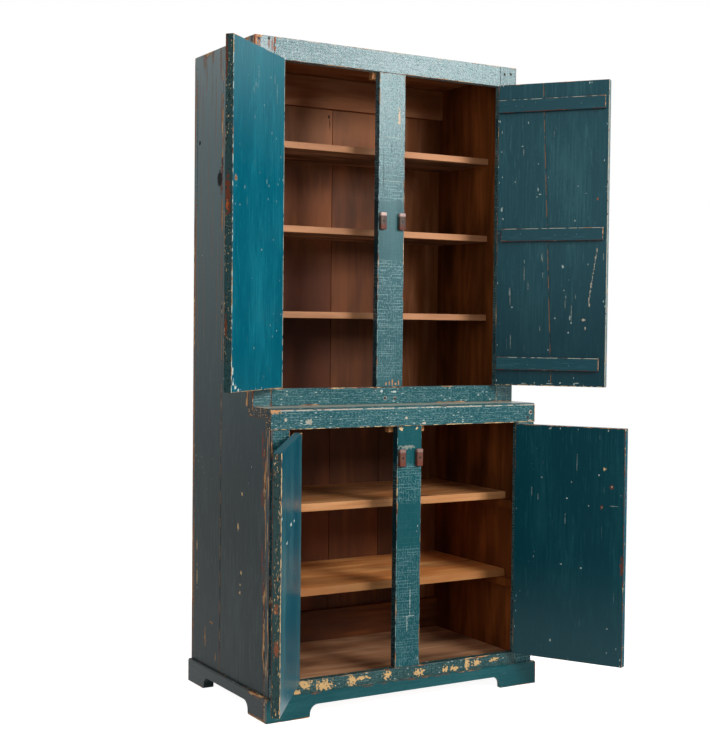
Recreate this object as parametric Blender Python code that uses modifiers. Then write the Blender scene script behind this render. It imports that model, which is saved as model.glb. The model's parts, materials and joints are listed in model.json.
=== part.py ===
"""Step-back cupboard: a painted pine case on a bracket plinth, deep below its counter and
shallow above it, with two face frames, four inset doors on butt hinges, five shelves and
four wooden turn buttons.

Run with: blender --background --python part.py

Case axes: X runs along the front, left to right, Y runs from the front to the back with
zero at the face of the lower frame, and Z is up from the floor. The whole case hangs on one
empty, which puts the middle of the standing object, doors open, at the world's origin.
"""

import math
from collections import namedtuple

import bmesh
import bpy
from mathutils import Matrix

# Driving dimensions of the case
CASE_WIDTH = 0.940
CASE_DEPTH = 0.543
CASE_HEIGHT = 1.973
STEP_DEPTH = 0.118
COUNTER_TOP = 0.897
FLOOR_TOP = 0.085

# Board thicknesses
SIDE_THICKNESS = 0.023
FRAME_THICKNESS = 0.026
DOOR_THICKNESS = 0.024
BACK_THICKNESS = 0.018
ROOF_THICKNESS = 0.020
COUNTER_THICKNESS = 0.028
FLOOR_THICKNESS = 0.023
UPPER_SHELF_THICKNESS = 0.020
LOWER_SHELF_THICKNESS = 0.024

# Face frames
STILE_WIDTH = 0.063
TOP_RAIL_HEIGHT = 0.064
UPPER_BOTTOM_RAIL_HEIGHT = 0.052
UPPER_CENTRE_STILE_WIDTH = 0.093
LOWER_CENTRE_STILE_WIDTH = 0.086
LOWER_RAIL_TOP = 0.106
LOWER_RAIL_HEIGHT = 0.060
COUNTER_RAIL_HEIGHT = 0.060
COUNTER_RAIL_PROUD = 0.003
COUNTER_RAIL_ROUND = 0.009

# Joinery
FIT = 0.0003
RUNNING_FIT = 0.0001
DADO_DEPTH = 0.007
BACK_REBATE = 0.009
TENON_LENGTH = 0.020
TENON_THICKNESS = 0.009
TENON_SHOULDER = 0.011
BOARD_SEAM = 0.0010
SIDE_SEAM_BEHIND_FRONT = 0.330
SIDE_SEAM_DEPTH = 0.002
CUTTER_MARGIN = 0.010
WELD_DISTANCE = 1e-6
EASED_EDGE = 0.0015
EASED_SEGMENTS = 2
ROUND_SEGMENTS = 4
CHAMFER_SEGMENTS = 1
EASED_FROM_DEG = 40.0

# Back boards, left to right, as parts of the width that they share
BACK_BOARD_PARTS = (1.10, 1.00, 0.85, 1.08)
BACK_BOTTOM = 0.046
BACK_RAIL_THICKNESS = 0.020
BACK_TOP_RAIL_HEIGHT = 0.100
BACK_BOTTOM_RAIL_HEIGHT = 0.101

# Shelves: the bays between them, from the bottom up, as parts of the clear height they share
UPPER_BAY_PARTS = (2.61, 2.41, 2.34, 2.60)
LOWER_BAY_PARTS = (2.41, 2.30, 2.65)
UPPER_SHELF_SETBACK = 0.118
LOWER_SHELF_SETBACK = 0.113
CLEAT_HEIGHT = 0.026
CLEAT_THICKNESS = 0.019
CLEAT_SETBACK = 0.055

# Plinth with bracket feet
PLINTH_HEIGHT = 0.070
PLINTH_THICKNESS = 0.011
PLINTH_CHAMFER = 0.004
FRONT_FOOT_WIDTH = 0.142
SIDE_FRONT_FOOT_WIDTH = 0.110
SIDE_REAR_FOOT_WIDTH = 0.120
ARCH_HEIGHT = 0.037
ARCH_ROUND = 0.026
FOOT_ROUND = 0.006
ARC_STEPS = 8

# Doors
DOOR_SETBACK = 0.0015
CLOSING_GAP = 0.003
DOOR_EDGE_GAP = 0.003
WORN_HEAD_GAP = 0.008
WORN_HEAD_DROP = 0.027
DOOR_STOP_SHOWN = 0.020
DOOR_STOP_LAP = 0.024
DOOR_STOP_THICKNESS = 0.022
SEAM_FROM_HINGE_TOP = 0.146
SEAM_FROM_HINGE_BOTTOM = 0.184
BATTEN_HEIGHT = 0.040
BATTEN_THICKNESS = 0.014
BATTEN_INSET = 0.050
UPPER_LEFT_OPEN_DEG = 140.0
UPPER_RIGHT_OPEN_DEG = 128.0
LOWER_LEFT_OPEN_DEG = 126.5
LOWER_RIGHT_OPEN_DEG = 120.0

# How far the door stops reach past the centre stiles, to the left and to the right
UPPER_STOP_REACH = (0.011, 0.013)
LOWER_STOP_REACH = (0.015, 0.026)

# Gaps past the battens' ends, at the hinge edge and at the free edge
BOTTOM_BATTEN_GAPS = (0.006, 0.019)
MIDDLE_BATTEN_GAPS = (0.017, 0.011)
TOP_BATTEN_GAPS = (0.003, 0.009)

# Butt hinges
HINGE_HEIGHT = 0.062
HINGE_INSET = 0.130
LEAF_DEPTH = 0.020
LEAF_THICKNESS = 0.0014
BARREL_RADIUS = 0.0040
PIN_RADIUS = 0.0018
PIN_FORWARD = 0.0055
PIN_OVERHANG = 0.0015
BARREL_SIDES = 16
HINGE_KNUCKLES = 3
STILE_KNUCKLES = (0, 2)
DOOR_KNUCKLES = (1,)
TAB_OVERLAP = 0.0012

# Turn buttons, their heights as parts of the door openings' heights
BUTTON_LENGTH = 0.052
BUTTON_WIDTH = 0.021
BUTTON_THICKNESS = 0.013
BUTTON_EDGE_INSET = 0.002
BUTTON_EASED_EDGE = 0.0025
BUTTON_SHANK_RADIUS = 0.004
BUTTON_SHANK_LENGTH = 0.020
UPPER_BUTTON_PART = 0.5292
LOWER_BUTTON_PART = 0.8687
SHANK_SIDES = 20

# Size of the empties in the viewport
EMPTY_SIZE = 0.05

# Finishes: colour, roughness, metallic
TEAL_PAINT = ("teal_paint", (0.045, 0.105, 0.120), 0.45, 0.0)
BRIGHT_TEAL_PAINT = ("bright_teal_paint", (0.015, 0.130, 0.190), 0.45, 0.0)
BARE_PINE = ("bare_pine", (0.150, 0.060, 0.022), 0.70, 0.0)
BUTTON_WOOD = ("button_wood", (0.190, 0.060, 0.030), 0.60, 0.0)
OLD_IRON = ("old_iron", (0.060, 0.055, 0.050), 0.55, 0.9)

# Levels and planes worked out from the sizes above
HALF_WIDTH = CASE_WIDTH / 2
INNER_HALF = HALF_WIDTH - SIDE_THICKNESS
HOUSED_HALF = INNER_HALF + DADO_DEPTH - FIT
UPPER_FRAME_BACK = STEP_DEPTH + FRAME_THICKNESS
BACK_INNER = CASE_DEPTH - BACK_THICKNESS
COUNTER_BOTTOM = COUNTER_TOP - COUNTER_THICKNESS
COUNTER_RAIL_BOTTOM = COUNTER_TOP - COUNTER_RAIL_HEIGHT
ROOF_BOTTOM = CASE_HEIGHT - ROOF_THICKNESS
TOP_RAIL_BOTTOM = CASE_HEIGHT - TOP_RAIL_HEIGHT
UPPER_RAIL_TOP = COUNTER_TOP + UPPER_BOTTOM_RAIL_HEIGHT
STILE_EDGE = HALF_WIDTH - STILE_WIDTH
SIDE_LOWER_FRONT = FRAME_THICKNESS + FIT
SIDE_UPPER_FRONT = UPPER_FRAME_BACK + FIT
HINGE_GAP = 2 * LEAF_THICKNESS + 3 * FIT
DOOR_FACE = PIN_FORWARD + DOOR_SETBACK

# A door: hand is -1 when hung on the left and 1 on the right, centre is the stile it closes to,
# drop is how far its head slopes down to its free edge
Door = namedtuple("Door", "name hand face centre bottom top drop open_deg finish make")


def clear_scene():
    for obj in list(bpy.data.objects):
        bpy.data.objects.remove(obj, do_unlink=True)


def new_collection(name):
    collection = bpy.data.collections.new(name)
    bpy.context.scene.collection.children.link(collection)
    return collection


def finish_material(finish):
    name, colour, roughness, metallic = finish
    material = bpy.data.materials.get(name)
    if material is None:
        material = bpy.data.materials.new(name)
        material.use_nodes = True
        shader = material.node_tree.nodes["Principled BSDF"]
        shader.inputs["Base Color"].default_value = (*colour, 1.0)
        shader.inputs["Roughness"].default_value = roughness
        shader.inputs["Metallic"].default_value = metallic
    return material


def add_empty(name, location, parent=None):
    empty = bpy.data.objects.new(name, None)
    empty.empty_display_size = EMPTY_SIZE
    empty.location = location
    empty.parent = parent
    parts.objects.link(empty)
    return empty


def add_part(name, mesh, parent, finish, location=(0, 0, 0), rotation=(0, 0, 0)):
    """A named piece of the cupboard, with its finish, hung on an empty."""
    obj = bpy.data.objects.new(name, mesh)
    obj.parent = parent
    obj.location = location
    obj.rotation_euler = rotation
    mesh.materials.clear()
    mesh.materials.append(finish_material(finish))
    parts.objects.link(obj)
    return obj


def add_helper(name, mesh, parent, location=(0, 0, 0), rotation=(0, 0, 0)):
    """A shape that only cuts or joins pieces."""
    obj = bpy.data.objects.new(name, mesh)
    obj.parent = parent
    obj.location = location
    obj.rotation_euler = rotation
    obj.hide_render = True
    obj.display_type = "WIRE"
    cutters.objects.link(obj)
    return obj


def box_mesh(name, low, high):
    """A box between two corners, with its own middle as its origin, and that middle."""
    size = [top - bottom for bottom, top in zip(low, high)]
    middle = [(top + bottom) / 2 for bottom, top in zip(low, high)]
    shape = bmesh.new()
    bmesh.ops.create_cube(shape, size=1.0)
    bmesh.ops.scale(shape, vec=size, verts=shape.verts)
    mesh = bpy.data.meshes.new(name)
    shape.to_mesh(mesh)
    shape.free()
    return mesh, middle


def rod_mesh(name, radius, length, sides):
    """A cylinder along Z, centred on its origin."""
    shape = bmesh.new()
    bmesh.ops.create_cone(
        shape, cap_ends=True, segments=sides, radius1=radius, radius2=radius, depth=length
    )
    mesh = bpy.data.meshes.new(name)
    shape.to_mesh(mesh)
    shape.free()
    return mesh


def outline_mesh(name, points, thickness):
    """A flat outline in X and Y, given its thickness along Z and made a closed mesh."""
    curve = bpy.data.curves.new(name, "CURVE")
    curve.dimensions = "2D"
    curve.fill_mode = "BOTH"
    curve.extrude = thickness / 2
    spline = curve.splines.new("POLY")
    spline.points.add(len(points) - 1)
    for point, (x, y) in zip(spline.points, points):
        point.co = (x, y, 0.0, 1.0)
    spline.use_cyclic_u = True
    guide = bpy.data.objects.new(name, curve)
    cutters.objects.link(guide)
    mesh = solid_copy(name, guide)
    bpy.data.objects.remove(guide, do_unlink=True)
    bpy.data.curves.remove(curve)
    return mesh


def solid_copy(name, obj):
    """The evaluated shape of an object as one welded mesh that faces out."""
    graph = bpy.context.evaluated_depsgraph_get()
    mesh = bpy.data.meshes.new_from_object(obj.evaluated_get(graph))
    mesh.name = name
    shape = bmesh.new()
    shape.from_mesh(mesh)
    bmesh.ops.remove_doubles(shape, verts=shape.verts, dist=WELD_DISTANCE)
    bmesh.ops.recalc_face_normals(shape, faces=shape.faces)
    shape.to_mesh(mesh)
    shape.free()
    return mesh


def ease_edges(obj, width=EASED_EDGE):
    bevel = obj.modifiers.new("eased_edges", "BEVEL")
    bevel.width = width
    bevel.segments = EASED_SEGMENTS
    bevel.limit_method = "ANGLE"
    bevel.angle_limit = math.radians(EASED_FROM_DEG)


def shape_edges(obj, width, segments, picks):
    """Bevels only the edges whose two ends both pass the test, in the mesh's own axes."""
    mesh = obj.data
    weights = mesh.attributes.new("bevel_weight_edge", "FLOAT", "EDGE")
    for edge, weight in zip(mesh.edges, weights.data):
        ends = [mesh.vertices[index].co for index in edge.vertices]
        weight.value = 1.0 if all(picks(end) for end in ends) else 0.0
    bevel = obj.modifiers.new("shaped_edge", "BEVEL")
    bevel.width = width
    bevel.segments = segments
    bevel.limit_method = "WEIGHT"


def combine(obj, helper, operation):
    boolean = obj.modifiers.new(f"{operation.lower()}_{helper.name}", "BOOLEAN")
    boolean.operation = operation
    boolean.solver = "EXACT"
    boolean.object = helper


def cut_box(obj, name, low, high, parent):
    mesh, middle = box_mesh(name, low, high)
    combine(obj, add_helper(name, mesh, parent, middle), "DIFFERENCE")


def join_box(obj, name, low, high, parent):
    mesh, middle = box_mesh(name, low, high)
    combine(obj, add_helper(name, mesh, parent, middle), "UNION")


def board(name, low, high, parent, finish, eased=EASED_EDGE):
    """A plain sawn board with its edges eased."""
    mesh, middle = box_mesh(name, low, high)
    obj = add_part(name, mesh, parent, finish, middle)
    ease_edges(obj, eased)
    return obj


def tenoned_board(name, low, high, along, parent, finish):
    """A frame member with a tenon at each end along one axis, and the tenons' own corners."""
    obj = board(name, low, high, parent, finish)
    across = 2 if along == 0 else 0
    middle_y = (low[1] + high[1]) / 2
    tenon_low = [0.0, middle_y - TENON_THICKNESS / 2, 0.0]
    tenon_high = [0.0, middle_y + TENON_THICKNESS / 2, 0.0]
    tenon_low[along] = low[along] - TENON_LENGTH
    tenon_high[along] = high[along] + TENON_LENGTH
    tenon_low[across] = low[across] + TENON_SHOULDER
    tenon_high[across] = high[across] - TENON_SHOULDER
    join_box(obj, f"{name}_tenons", tenon_low, tenon_high, parent)
    return tenon_low, tenon_high


def mortise(obj, name, tenon, parent):
    """A mortise for a tenon box, a fit wider all round."""
    low, high = tenon
    grown_low = [value - FIT for value in low]
    grown_high = [value + FIT for value in high]
    cut_box(obj, name, grown_low, grown_high, parent)


def quarter_arc(centre, radius, start_deg):
    """Points of a quarter circle, turning anticlockwise from the start angle."""
    points = []
    for step in range(ARC_STEPS + 1):
        angle = math.radians(start_deg + 90.0 * step / ARC_STEPS)
        points.append((centre[0] + radius * math.cos(angle), centre[1] + radius * math.sin(angle)))
    return points


def arch_points(start, end, height):
    """The underside between two feet, from the start foot's sole to the end foot's sole."""
    half = []
    for x, z in quarter_arc((start - FOOT_ROUND, FOOT_ROUND), FOOT_ROUND, -90.0):
        half.append((x, z))
    for x, z in reversed(quarter_arc((start + ARCH_ROUND, height - ARCH_ROUND), ARCH_ROUND, 90.0)):
        half.append((x, z))
    other = [(start + end - x, z) for x, z in reversed(half)]
    return half + other


def shelf_levels(start, end, bay_parts, thickness):
    """The undersides of the shelves that divide a height into bays, from the bottom up."""
    clear = end - start - thickness * (len(bay_parts) - 1)
    levels = []
    level = start
    for part in bay_parts[:-1]:
        level += clear * part / sum(bay_parts)
        levels.append(level)
        level += thickness
    return levels


def upper_shelf_bottoms():
    return shelf_levels(COUNTER_TOP, ROOF_BOTTOM, UPPER_BAY_PARTS, UPPER_SHELF_THICKNESS)


def lower_shelf_bottoms():
    return shelf_levels(FLOOR_TOP, COUNTER_BOTTOM, LOWER_BAY_PARTS, LOWER_SHELF_THICKNESS)


def side_outline():
    """Side profile in Y and Z: stepped back above the counter, arched between its feet."""
    points = [
        (SIDE_LOWER_FRONT, COUNTER_BOTTOM - FIT),
        (SIDE_LOWER_FRONT, 0.0),
    ]
    rear_foot = CASE_DEPTH - SIDE_REAR_FOOT_WIDTH
    points += arch_points(SIDE_FRONT_FOOT_WIDTH, rear_foot, ARCH_HEIGHT)
    points += [
        (CASE_DEPTH, 0.0),
        (CASE_DEPTH, CASE_HEIGHT),
        (SIDE_UPPER_FRONT, CASE_HEIGHT),
        (SIDE_UPPER_FRONT, COUNTER_BOTTOM - FIT),
    ]
    return points


def build_side(hand, name):
    """One edge-joined side: open glue seam, two shelf cleats, housings and back rebate."""
    mesh = outline_mesh(name, side_outline(), SIDE_THICKNESS)
    middle_x = hand * (HALF_WIDTH - SIDE_THICKNESS / 2)
    turned = (math.pi / 2, 0.0, math.pi / 2)
    side = add_part(name, mesh, case, TEAL_PAINT, (middle_x, 0.0, 0.0), turned)

    def inner_cut(label, depth, y_low, y_high, z_low, z_high):
        edges = sorted((hand * (INNER_HALF - CUTTER_MARGIN), hand * (INNER_HALF + depth)))
        cut_box(side, f"{name}_{label}", (edges[0], y_low, z_low), (edges[1], y_high, z_high), case)

    seam_front = SIDE_SEAM_BEHIND_FRONT - BOARD_SEAM / 2
    seam_back = SIDE_SEAM_BEHIND_FRONT + BOARD_SEAM / 2
    top = CASE_HEIGHT + CUTTER_MARGIN
    edges = sorted((hand * (HALF_WIDTH - SIDE_SEAM_DEPTH), hand * (HALF_WIDTH + CUTTER_MARGIN)))
    seam_low = (edges[0], seam_front, -CUTTER_MARGIN)
    seam_high = (edges[1], seam_back, top)
    cut_box(side, f"{name}_outer_seam", seam_low, seam_high, case)
    inner_cut("inner_seam", SIDE_SEAM_DEPTH, seam_front, seam_back, -CUTTER_MARGIN, top)
    for number, bottom in enumerate(lower_shelf_bottoms(), 1):
        edges = sorted((hand * (INNER_HALF - CLEAT_THICKNESS), hand * (INNER_HALF + DADO_DEPTH)))
        low = (edges[0], CLEAT_SETBACK, bottom - FIT - CLEAT_HEIGHT)
        high = (edges[1], BACK_INNER - 2 * FIT, bottom - FIT)
        join_box(side, f"{name}_cleat_{number}", low, high, case)
    for number, bottom in enumerate(upper_shelf_bottoms(), 1):
        front = STEP_DEPTH + UPPER_SHELF_SETBACK - FIT
        top = bottom + UPPER_SHELF_THICKNESS + FIT
        inner_cut(f"shelf_housing_{number}", DADO_DEPTH, front, BACK_INNER, bottom - FIT, top)
    inner_cut(
        "counter_housing",
        DADO_DEPTH,
        SIDE_UPPER_FRONT - CUTTER_MARGIN,
        BACK_INNER,
        COUNTER_BOTTOM - FIT,
        COUNTER_TOP + FIT,
    )
    inner_cut(
        "floor_housing",
        DADO_DEPTH,
        SIDE_LOWER_FRONT - CUTTER_MARGIN,
        BACK_INNER,
        FLOOR_TOP - FLOOR_THICKNESS - FIT,
        FLOOR_TOP + FIT,
    )
    inner_cut(
        "roof_rebate",
        DADO_DEPTH,
        SIDE_UPPER_FRONT - CUTTER_MARGIN,
        BACK_INNER,
        ROOF_BOTTOM - FIT,
        CASE_HEIGHT + CUTTER_MARGIN,
    )
    inner_cut(
        "back_rebate",
        BACK_REBATE,
        BACK_INNER - FIT,
        CASE_DEPTH + CUTTER_MARGIN,
        -CUTTER_MARGIN,
        CASE_HEIGHT + CUTTER_MARGIN,
    )


def build_counter():
    """The counter runs to the back between the sides, and over them in front of the step."""
    rear = BACK_INNER - FIT
    notch = SIDE_UPPER_FRONT - FIT
    front = FRAME_THICKNESS + FIT
    points = [
        (-HALF_WIDTH, front),
        (HALF_WIDTH, front),
        (HALF_WIDTH, notch),
        (HOUSED_HALF, notch),
        (HOUSED_HALF, rear),
        (-HOUSED_HALF, rear),
        (-HOUSED_HALF, notch),
        (-HALF_WIDTH, notch),
    ]
    mesh = outline_mesh("counter_board", points, COUNTER_THICKNESS)
    level = COUNTER_TOP - COUNTER_THICKNESS / 2
    add_part("counter_board", mesh, case, TEAL_PAINT, (0.0, 0.0, level))


def build_horizontal_boards():
    rear = BACK_INNER - FIT
    board(
        "roof_board",
        (-HOUSED_HALF, UPPER_FRAME_BACK + FIT, ROOF_BOTTOM),
        (HOUSED_HALF, rear, CASE_HEIGHT),
        case,
        TEAL_PAINT,
    )
    board(
        "floor_board",
        (-HOUSED_HALF, FRAME_THICKNESS + FIT, FLOOR_TOP - FLOOR_THICKNESS),
        (HOUSED_HALF, rear, FLOOR_TOP),
        case,
        BARE_PINE,
    )
    for number, bottom in enumerate(upper_shelf_bottoms(), 1):
        board(
            f"upper_shelf_{number}",
            (-HOUSED_HALF, STEP_DEPTH + UPPER_SHELF_SETBACK, bottom),
            (HOUSED_HALF, rear, bottom + UPPER_SHELF_THICKNESS),
            case,
            BARE_PINE,
        )
    for number, bottom in enumerate(lower_shelf_bottoms(), 1):
        board(
            f"lower_shelf_{number}",
            (-INNER_HALF + FIT, LOWER_SHELF_SETBACK, bottom),
            (INNER_HALF - FIT, rear, bottom + LOWER_SHELF_THICKNESS),
            case,
            BARE_PINE,
        )


def build_back():
    """Upright boards in the sides' rebates, with a nailing rail at the top and the bottom."""
    left = -(INNER_HALF + BACK_REBATE - FIT)
    room = -2 * left - BOARD_SEAM * (len(BACK_BOARD_PARTS) - 1)
    for number, part in enumerate(BACK_BOARD_PARTS, 1):
        width = room * part / sum(BACK_BOARD_PARTS)
        board(
            f"back_board_{number}",
            (left, BACK_INNER, BACK_BOTTOM),
            (left + width, CASE_DEPTH, CASE_HEIGHT),
            case,
            BARE_PINE,
        )
        left += width + BOARD_SEAM
    rail_front = BACK_INNER - FIT - BACK_RAIL_THICKNESS
    rail_half = INNER_HALF - FIT
    board(
        "back_top_rail",
        (-rail_half, rail_front, ROOF_BOTTOM - FIT - BACK_TOP_RAIL_HEIGHT),
        (rail_half, BACK_INNER - FIT, ROOF_BOTTOM - FIT),
        case,
        BARE_PINE,
    )
    board(
        "back_bottom_rail",
        (-rail_half, rail_front, FLOOR_TOP + FIT),
        (rail_half, BACK_INNER - FIT, FLOOR_TOP + FIT + BACK_BOTTOM_RAIL_HEIGHT),
        case,
        BARE_PINE,
    )


def build_upper_frame():
    front, back = STEP_DEPTH, UPPER_FRAME_BACK
    foot = COUNTER_TOP + FIT
    rail_half = STILE_EDGE - FIT
    centre_half = UPPER_CENTRE_STILE_WIDTH / 2
    top_tenon = tenoned_board(
        "upper_top_rail",
        (-rail_half, front, TOP_RAIL_BOTTOM),
        (rail_half, back, CASE_HEIGHT),
        0,
        case,
        TEAL_PAINT,
    )
    bottom_tenon = tenoned_board(
        "upper_bottom_rail",
        (-rail_half, front, foot),
        (rail_half, back, UPPER_RAIL_TOP),
        0,
        case,
        TEAL_PAINT,
    )
    centre_tenon = tenoned_board(
        "upper_centre_stile",
        (-centre_half, front, UPPER_RAIL_TOP + FIT),
        (centre_half, back, TOP_RAIL_BOTTOM - FIT),
        2,
        case,
        TEAL_PAINT,
    )
    for rail in ("upper_top_rail", "upper_bottom_rail"):
        mortise(bpy.data.objects[rail], f"{rail}_mortise", centre_tenon, case)
    for hand, name in ((-1, "upper_left_stile"), (1, "upper_right_stile")):
        edges = sorted((hand * HALF_WIDTH, hand * STILE_EDGE))
        stile = board(
            name, (edges[0], front, foot), (edges[1], back, CASE_HEIGHT), case, TEAL_PAINT
        )
        mortise(stile, f"{name}_top_mortise", top_tenon, case)
        mortise(stile, f"{name}_bottom_mortise", bottom_tenon, case)


def build_lower_frame():
    rail_half = STILE_EDGE - FIT
    centre_half = LOWER_CENTRE_STILE_WIDTH / 2
    rail_tenon = tenoned_board(
        "lower_bottom_rail",
        (-rail_half, 0.0, LOWER_RAIL_TOP - LOWER_RAIL_HEIGHT),
        (rail_half, FRAME_THICKNESS, LOWER_RAIL_TOP),
        0,
        case,
        TEAL_PAINT,
    )
    centre_tenon = tenoned_board(
        "lower_centre_stile",
        (-centre_half, 0.0, LOWER_RAIL_TOP + FIT),
        (centre_half, FRAME_THICKNESS, COUNTER_RAIL_BOTTOM - FIT),
        2,
        case,
        TEAL_PAINT,
    )
    mortise(bpy.data.objects["lower_bottom_rail"], "lower_rail_mortise", centre_tenon, case)
    counter_rail = build_counter_rail()
    mortise(counter_rail, "counter_rail_centre_mortise", centre_tenon, case)
    for hand, name in ((-1, "lower_left_stile"), (1, "lower_right_stile")):
        edges = sorted((hand * HALF_WIDTH, hand * STILE_EDGE))
        top = COUNTER_RAIL_BOTTOM - FIT
        stile = board(
            name, (edges[0], 0.0, 0.0), (edges[1], FRAME_THICKNESS, top), case, TEAL_PAINT
        )
        middle_y = FRAME_THICKNESS / 2
        tenon = (
            (edges[0] + TENON_SHOULDER, middle_y - TENON_THICKNESS / 2, top - TENON_LENGTH),
            (edges[1] - TENON_SHOULDER, middle_y + TENON_THICKNESS / 2, top + TENON_LENGTH),
        )
        join_box(stile, f"{name}_tenon", *tenon, case)
        mortise(counter_rail, f"counter_rail_mortise_{name}", tenon, case)
        mortise(stile, f"{name}_rail_mortise", rail_tenon, case)


def build_counter_rail():
    """The deep rail under the counter's front edge, rounded along its top."""
    low = (-HALF_WIDTH, -COUNTER_RAIL_PROUD, COUNTER_RAIL_BOTTOM)
    high = (HALF_WIDTH, FRAME_THICKNESS, COUNTER_TOP)
    mesh, middle = box_mesh("counter_rail", low, high)
    rail = add_part("counter_rail", mesh, case, TEAL_PAINT, middle)
    shape_edges(rail, COUNTER_RAIL_ROUND, ROUND_SEGMENTS, lambda end: end.y < 0 and end.z > 0)
    return rail


def build_plinth():
    """A thin skirt round three sides, cut into bracket feet, its top edge chamfered."""
    front_half = HALF_WIDTH + PLINTH_THICKNESS
    inner = front_half - FRONT_FOOT_WIDTH
    points = [(-front_half, PLINTH_HEIGHT), (-front_half, 0.0)]
    points += arch_points(-inner, inner, ARCH_HEIGHT)
    points += [(front_half, 0.0), (front_half, PLINTH_HEIGHT)]
    mesh = outline_mesh("plinth_front", points, PLINTH_THICKNESS - FIT)
    middle_y = -FIT - (PLINTH_THICKNESS - FIT) / 2
    front = add_part("plinth_front", mesh, case, TEAL_PAINT, (0, middle_y, 0), (math.pi / 2, 0, 0))
    top = PLINTH_HEIGHT - EASED_EDGE
    shape_edges(front, PLINTH_CHAMFER, CHAMFER_SEGMENTS, lambda end: end.y > top and end.z > 0)
    points = [(0.0, PLINTH_HEIGHT), (0.0, 0.0)]
    points += arch_points(SIDE_FRONT_FOOT_WIDTH, CASE_DEPTH - SIDE_REAR_FOOT_WIDTH, ARCH_HEIGHT)
    points += [(CASE_DEPTH, 0.0), (CASE_DEPTH, PLINTH_HEIGHT)]
    for hand, name in ((-1, "plinth_left"), (1, "plinth_right")):
        mesh = outline_mesh(name, points, PLINTH_THICKNESS - FIT)
        middle_x = hand * (HALF_WIDTH + FIT + (PLINTH_THICKNESS - FIT) / 2)
        turned = (math.pi / 2, 0.0, math.pi / 2)
        skirt = add_part(name, mesh, case, TEAL_PAINT, (middle_x, 0.0, 0.0), turned)
        shape_edges(
            skirt,
            PLINTH_CHAMFER,
            CHAMFER_SEGMENTS,
            lambda end, hand=hand: end.y > top and end.z * hand > 0,
        )


def build_door_stops():
    """Blocks behind the heads of the centre stiles, for the doors to close on."""
    upper = (UPPER_FRAME_BACK, UPPER_CENTRE_STILE_WIDTH, UPPER_STOP_REACH, TOP_RAIL_BOTTOM)
    lower = (FRAME_THICKNESS, LOWER_CENTRE_STILE_WIDTH, LOWER_STOP_REACH, COUNTER_RAIL_BOTTOM)
    for tier, (front, width, reach, rail_bottom) in (("upper", upper), ("lower", lower)):
        low = (-width / 2 - reach[0], front + FIT, rail_bottom - DOOR_STOP_SHOWN)
        back = front + FIT + DOOR_STOP_THICKNESS
        high = (width / 2 + reach[1], back, rail_bottom + DOOR_STOP_LAP)
        board(f"{tier}_door_stop", low, high, case, BARE_PINE)


def hinge_leaf_mesh(name, knuckles, hand, bored):
    """A leaf beside the pin with its knuckles round it: pin along Z, leaf running to +Y."""
    near = FIT / 2
    far = near + LEAF_THICKNESS
    edges = sorted((hand * near, hand * far))
    low = (edges[0], PIN_FORWARD + FIT, -HINGE_HEIGHT / 2)
    high = (edges[1], PIN_FORWARD + LEAF_DEPTH, HINGE_HEIGHT / 2)
    mesh, middle = box_mesh(name, low, high)
    leaf = add_helper(name, mesh, None, middle)
    knuckle_pitch = HINGE_HEIGHT / HINGE_KNUCKLES
    knuckle_length = knuckle_pitch - FIT
    helpers = [leaf]
    for index in knuckles:
        z = (index - (HINGE_KNUCKLES - 1) / 2) * knuckle_pitch
        mesh, middle = box_mesh(
            f"{name}_tab_{index}",
            (edges[0], 0.0, z - knuckle_length / 2),
            (edges[1], PIN_FORWARD + TAB_OVERLAP, z + knuckle_length / 2),
        )
        tab = add_helper(f"{name}_tab_{index}", mesh, None, middle)
        mesh = rod_mesh(f"{name}_knuckle_{index}", BARREL_RADIUS, knuckle_length, BARREL_SIDES)
        knuckle = add_helper(f"{name}_knuckle_{index}", mesh, None, (0, 0, z))
        combine(leaf, tab, "UNION")
        combine(leaf, knuckle, "UNION")
        helpers += [tab, knuckle]
    pin_radius = PIN_RADIUS + RUNNING_FIT if bored else PIN_RADIUS
    pin_length = HINGE_HEIGHT + 2 * PIN_OVERHANG
    mesh = rod_mesh(f"{name}_pin", pin_radius, pin_length, BARREL_SIDES)
    pin = add_helper(f"{name}_pin", mesh, None)
    combine(leaf, pin, "DIFFERENCE" if bored else "UNION")
    helpers.append(pin)
    solid = solid_copy(name, leaf)
    solid.transform(Matrix.Translation(leaf.location))
    for helper in helpers:
        bpy.data.objects.remove(helper, do_unlink=True)
    return solid


def hinge_turn(hand):
    """A right-hung hinge is the left-hung one turned over."""
    return (0.0, 0.0, 0.0) if hand < 0 else (0.0, math.pi, 0.0)


def pin_place(door):
    """Where a door's hinge pins stand, in X and Y."""
    return door.hand * (STILE_EDGE - HINGE_GAP / 2), door.face - PIN_FORWARD


def door_pivot(door):
    """The empty on a door's hinge axis, opened by the door's resting angle."""
    pivot = add_empty(f"{door.name}_pivot", (*pin_place(door), 0.0), case)
    pivot.rotation_euler = (0.0, 0.0, door.hand * math.radians(door.open_deg))
    return pivot


def hang_door(door, pivot):
    """Two butt hinges: one leaf of each on the stile, the other on the door's edge."""
    levels = (("bottom", door.bottom + HINGE_INSET), ("top", door.top - HINGE_INSET))
    for level_name, level in levels:
        label = f"{door.name}_{level_name}_hinge"
        stile_place = (*pin_place(door), level)
        door_place = (0.0, 0.0, level)
        turned = hinge_turn(door.hand)
        add_part(f"{label}_stile_leaf", stile_leaf_mesh, case, OLD_IRON, stile_place, turned)
        add_part(f"{label}_door_leaf", door_leaf_mesh, pivot, OLD_IRON, door_place, turned)


def door_width(centre_stile_width):
    return STILE_EDGE - centre_stile_width / 2 - HINGE_GAP - CLOSING_GAP


def door_span(hand, near, far):
    """Two distances from the hinge axis, along the closed door, as ordered X values."""
    return sorted((-hand * near, -hand * far))


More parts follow.
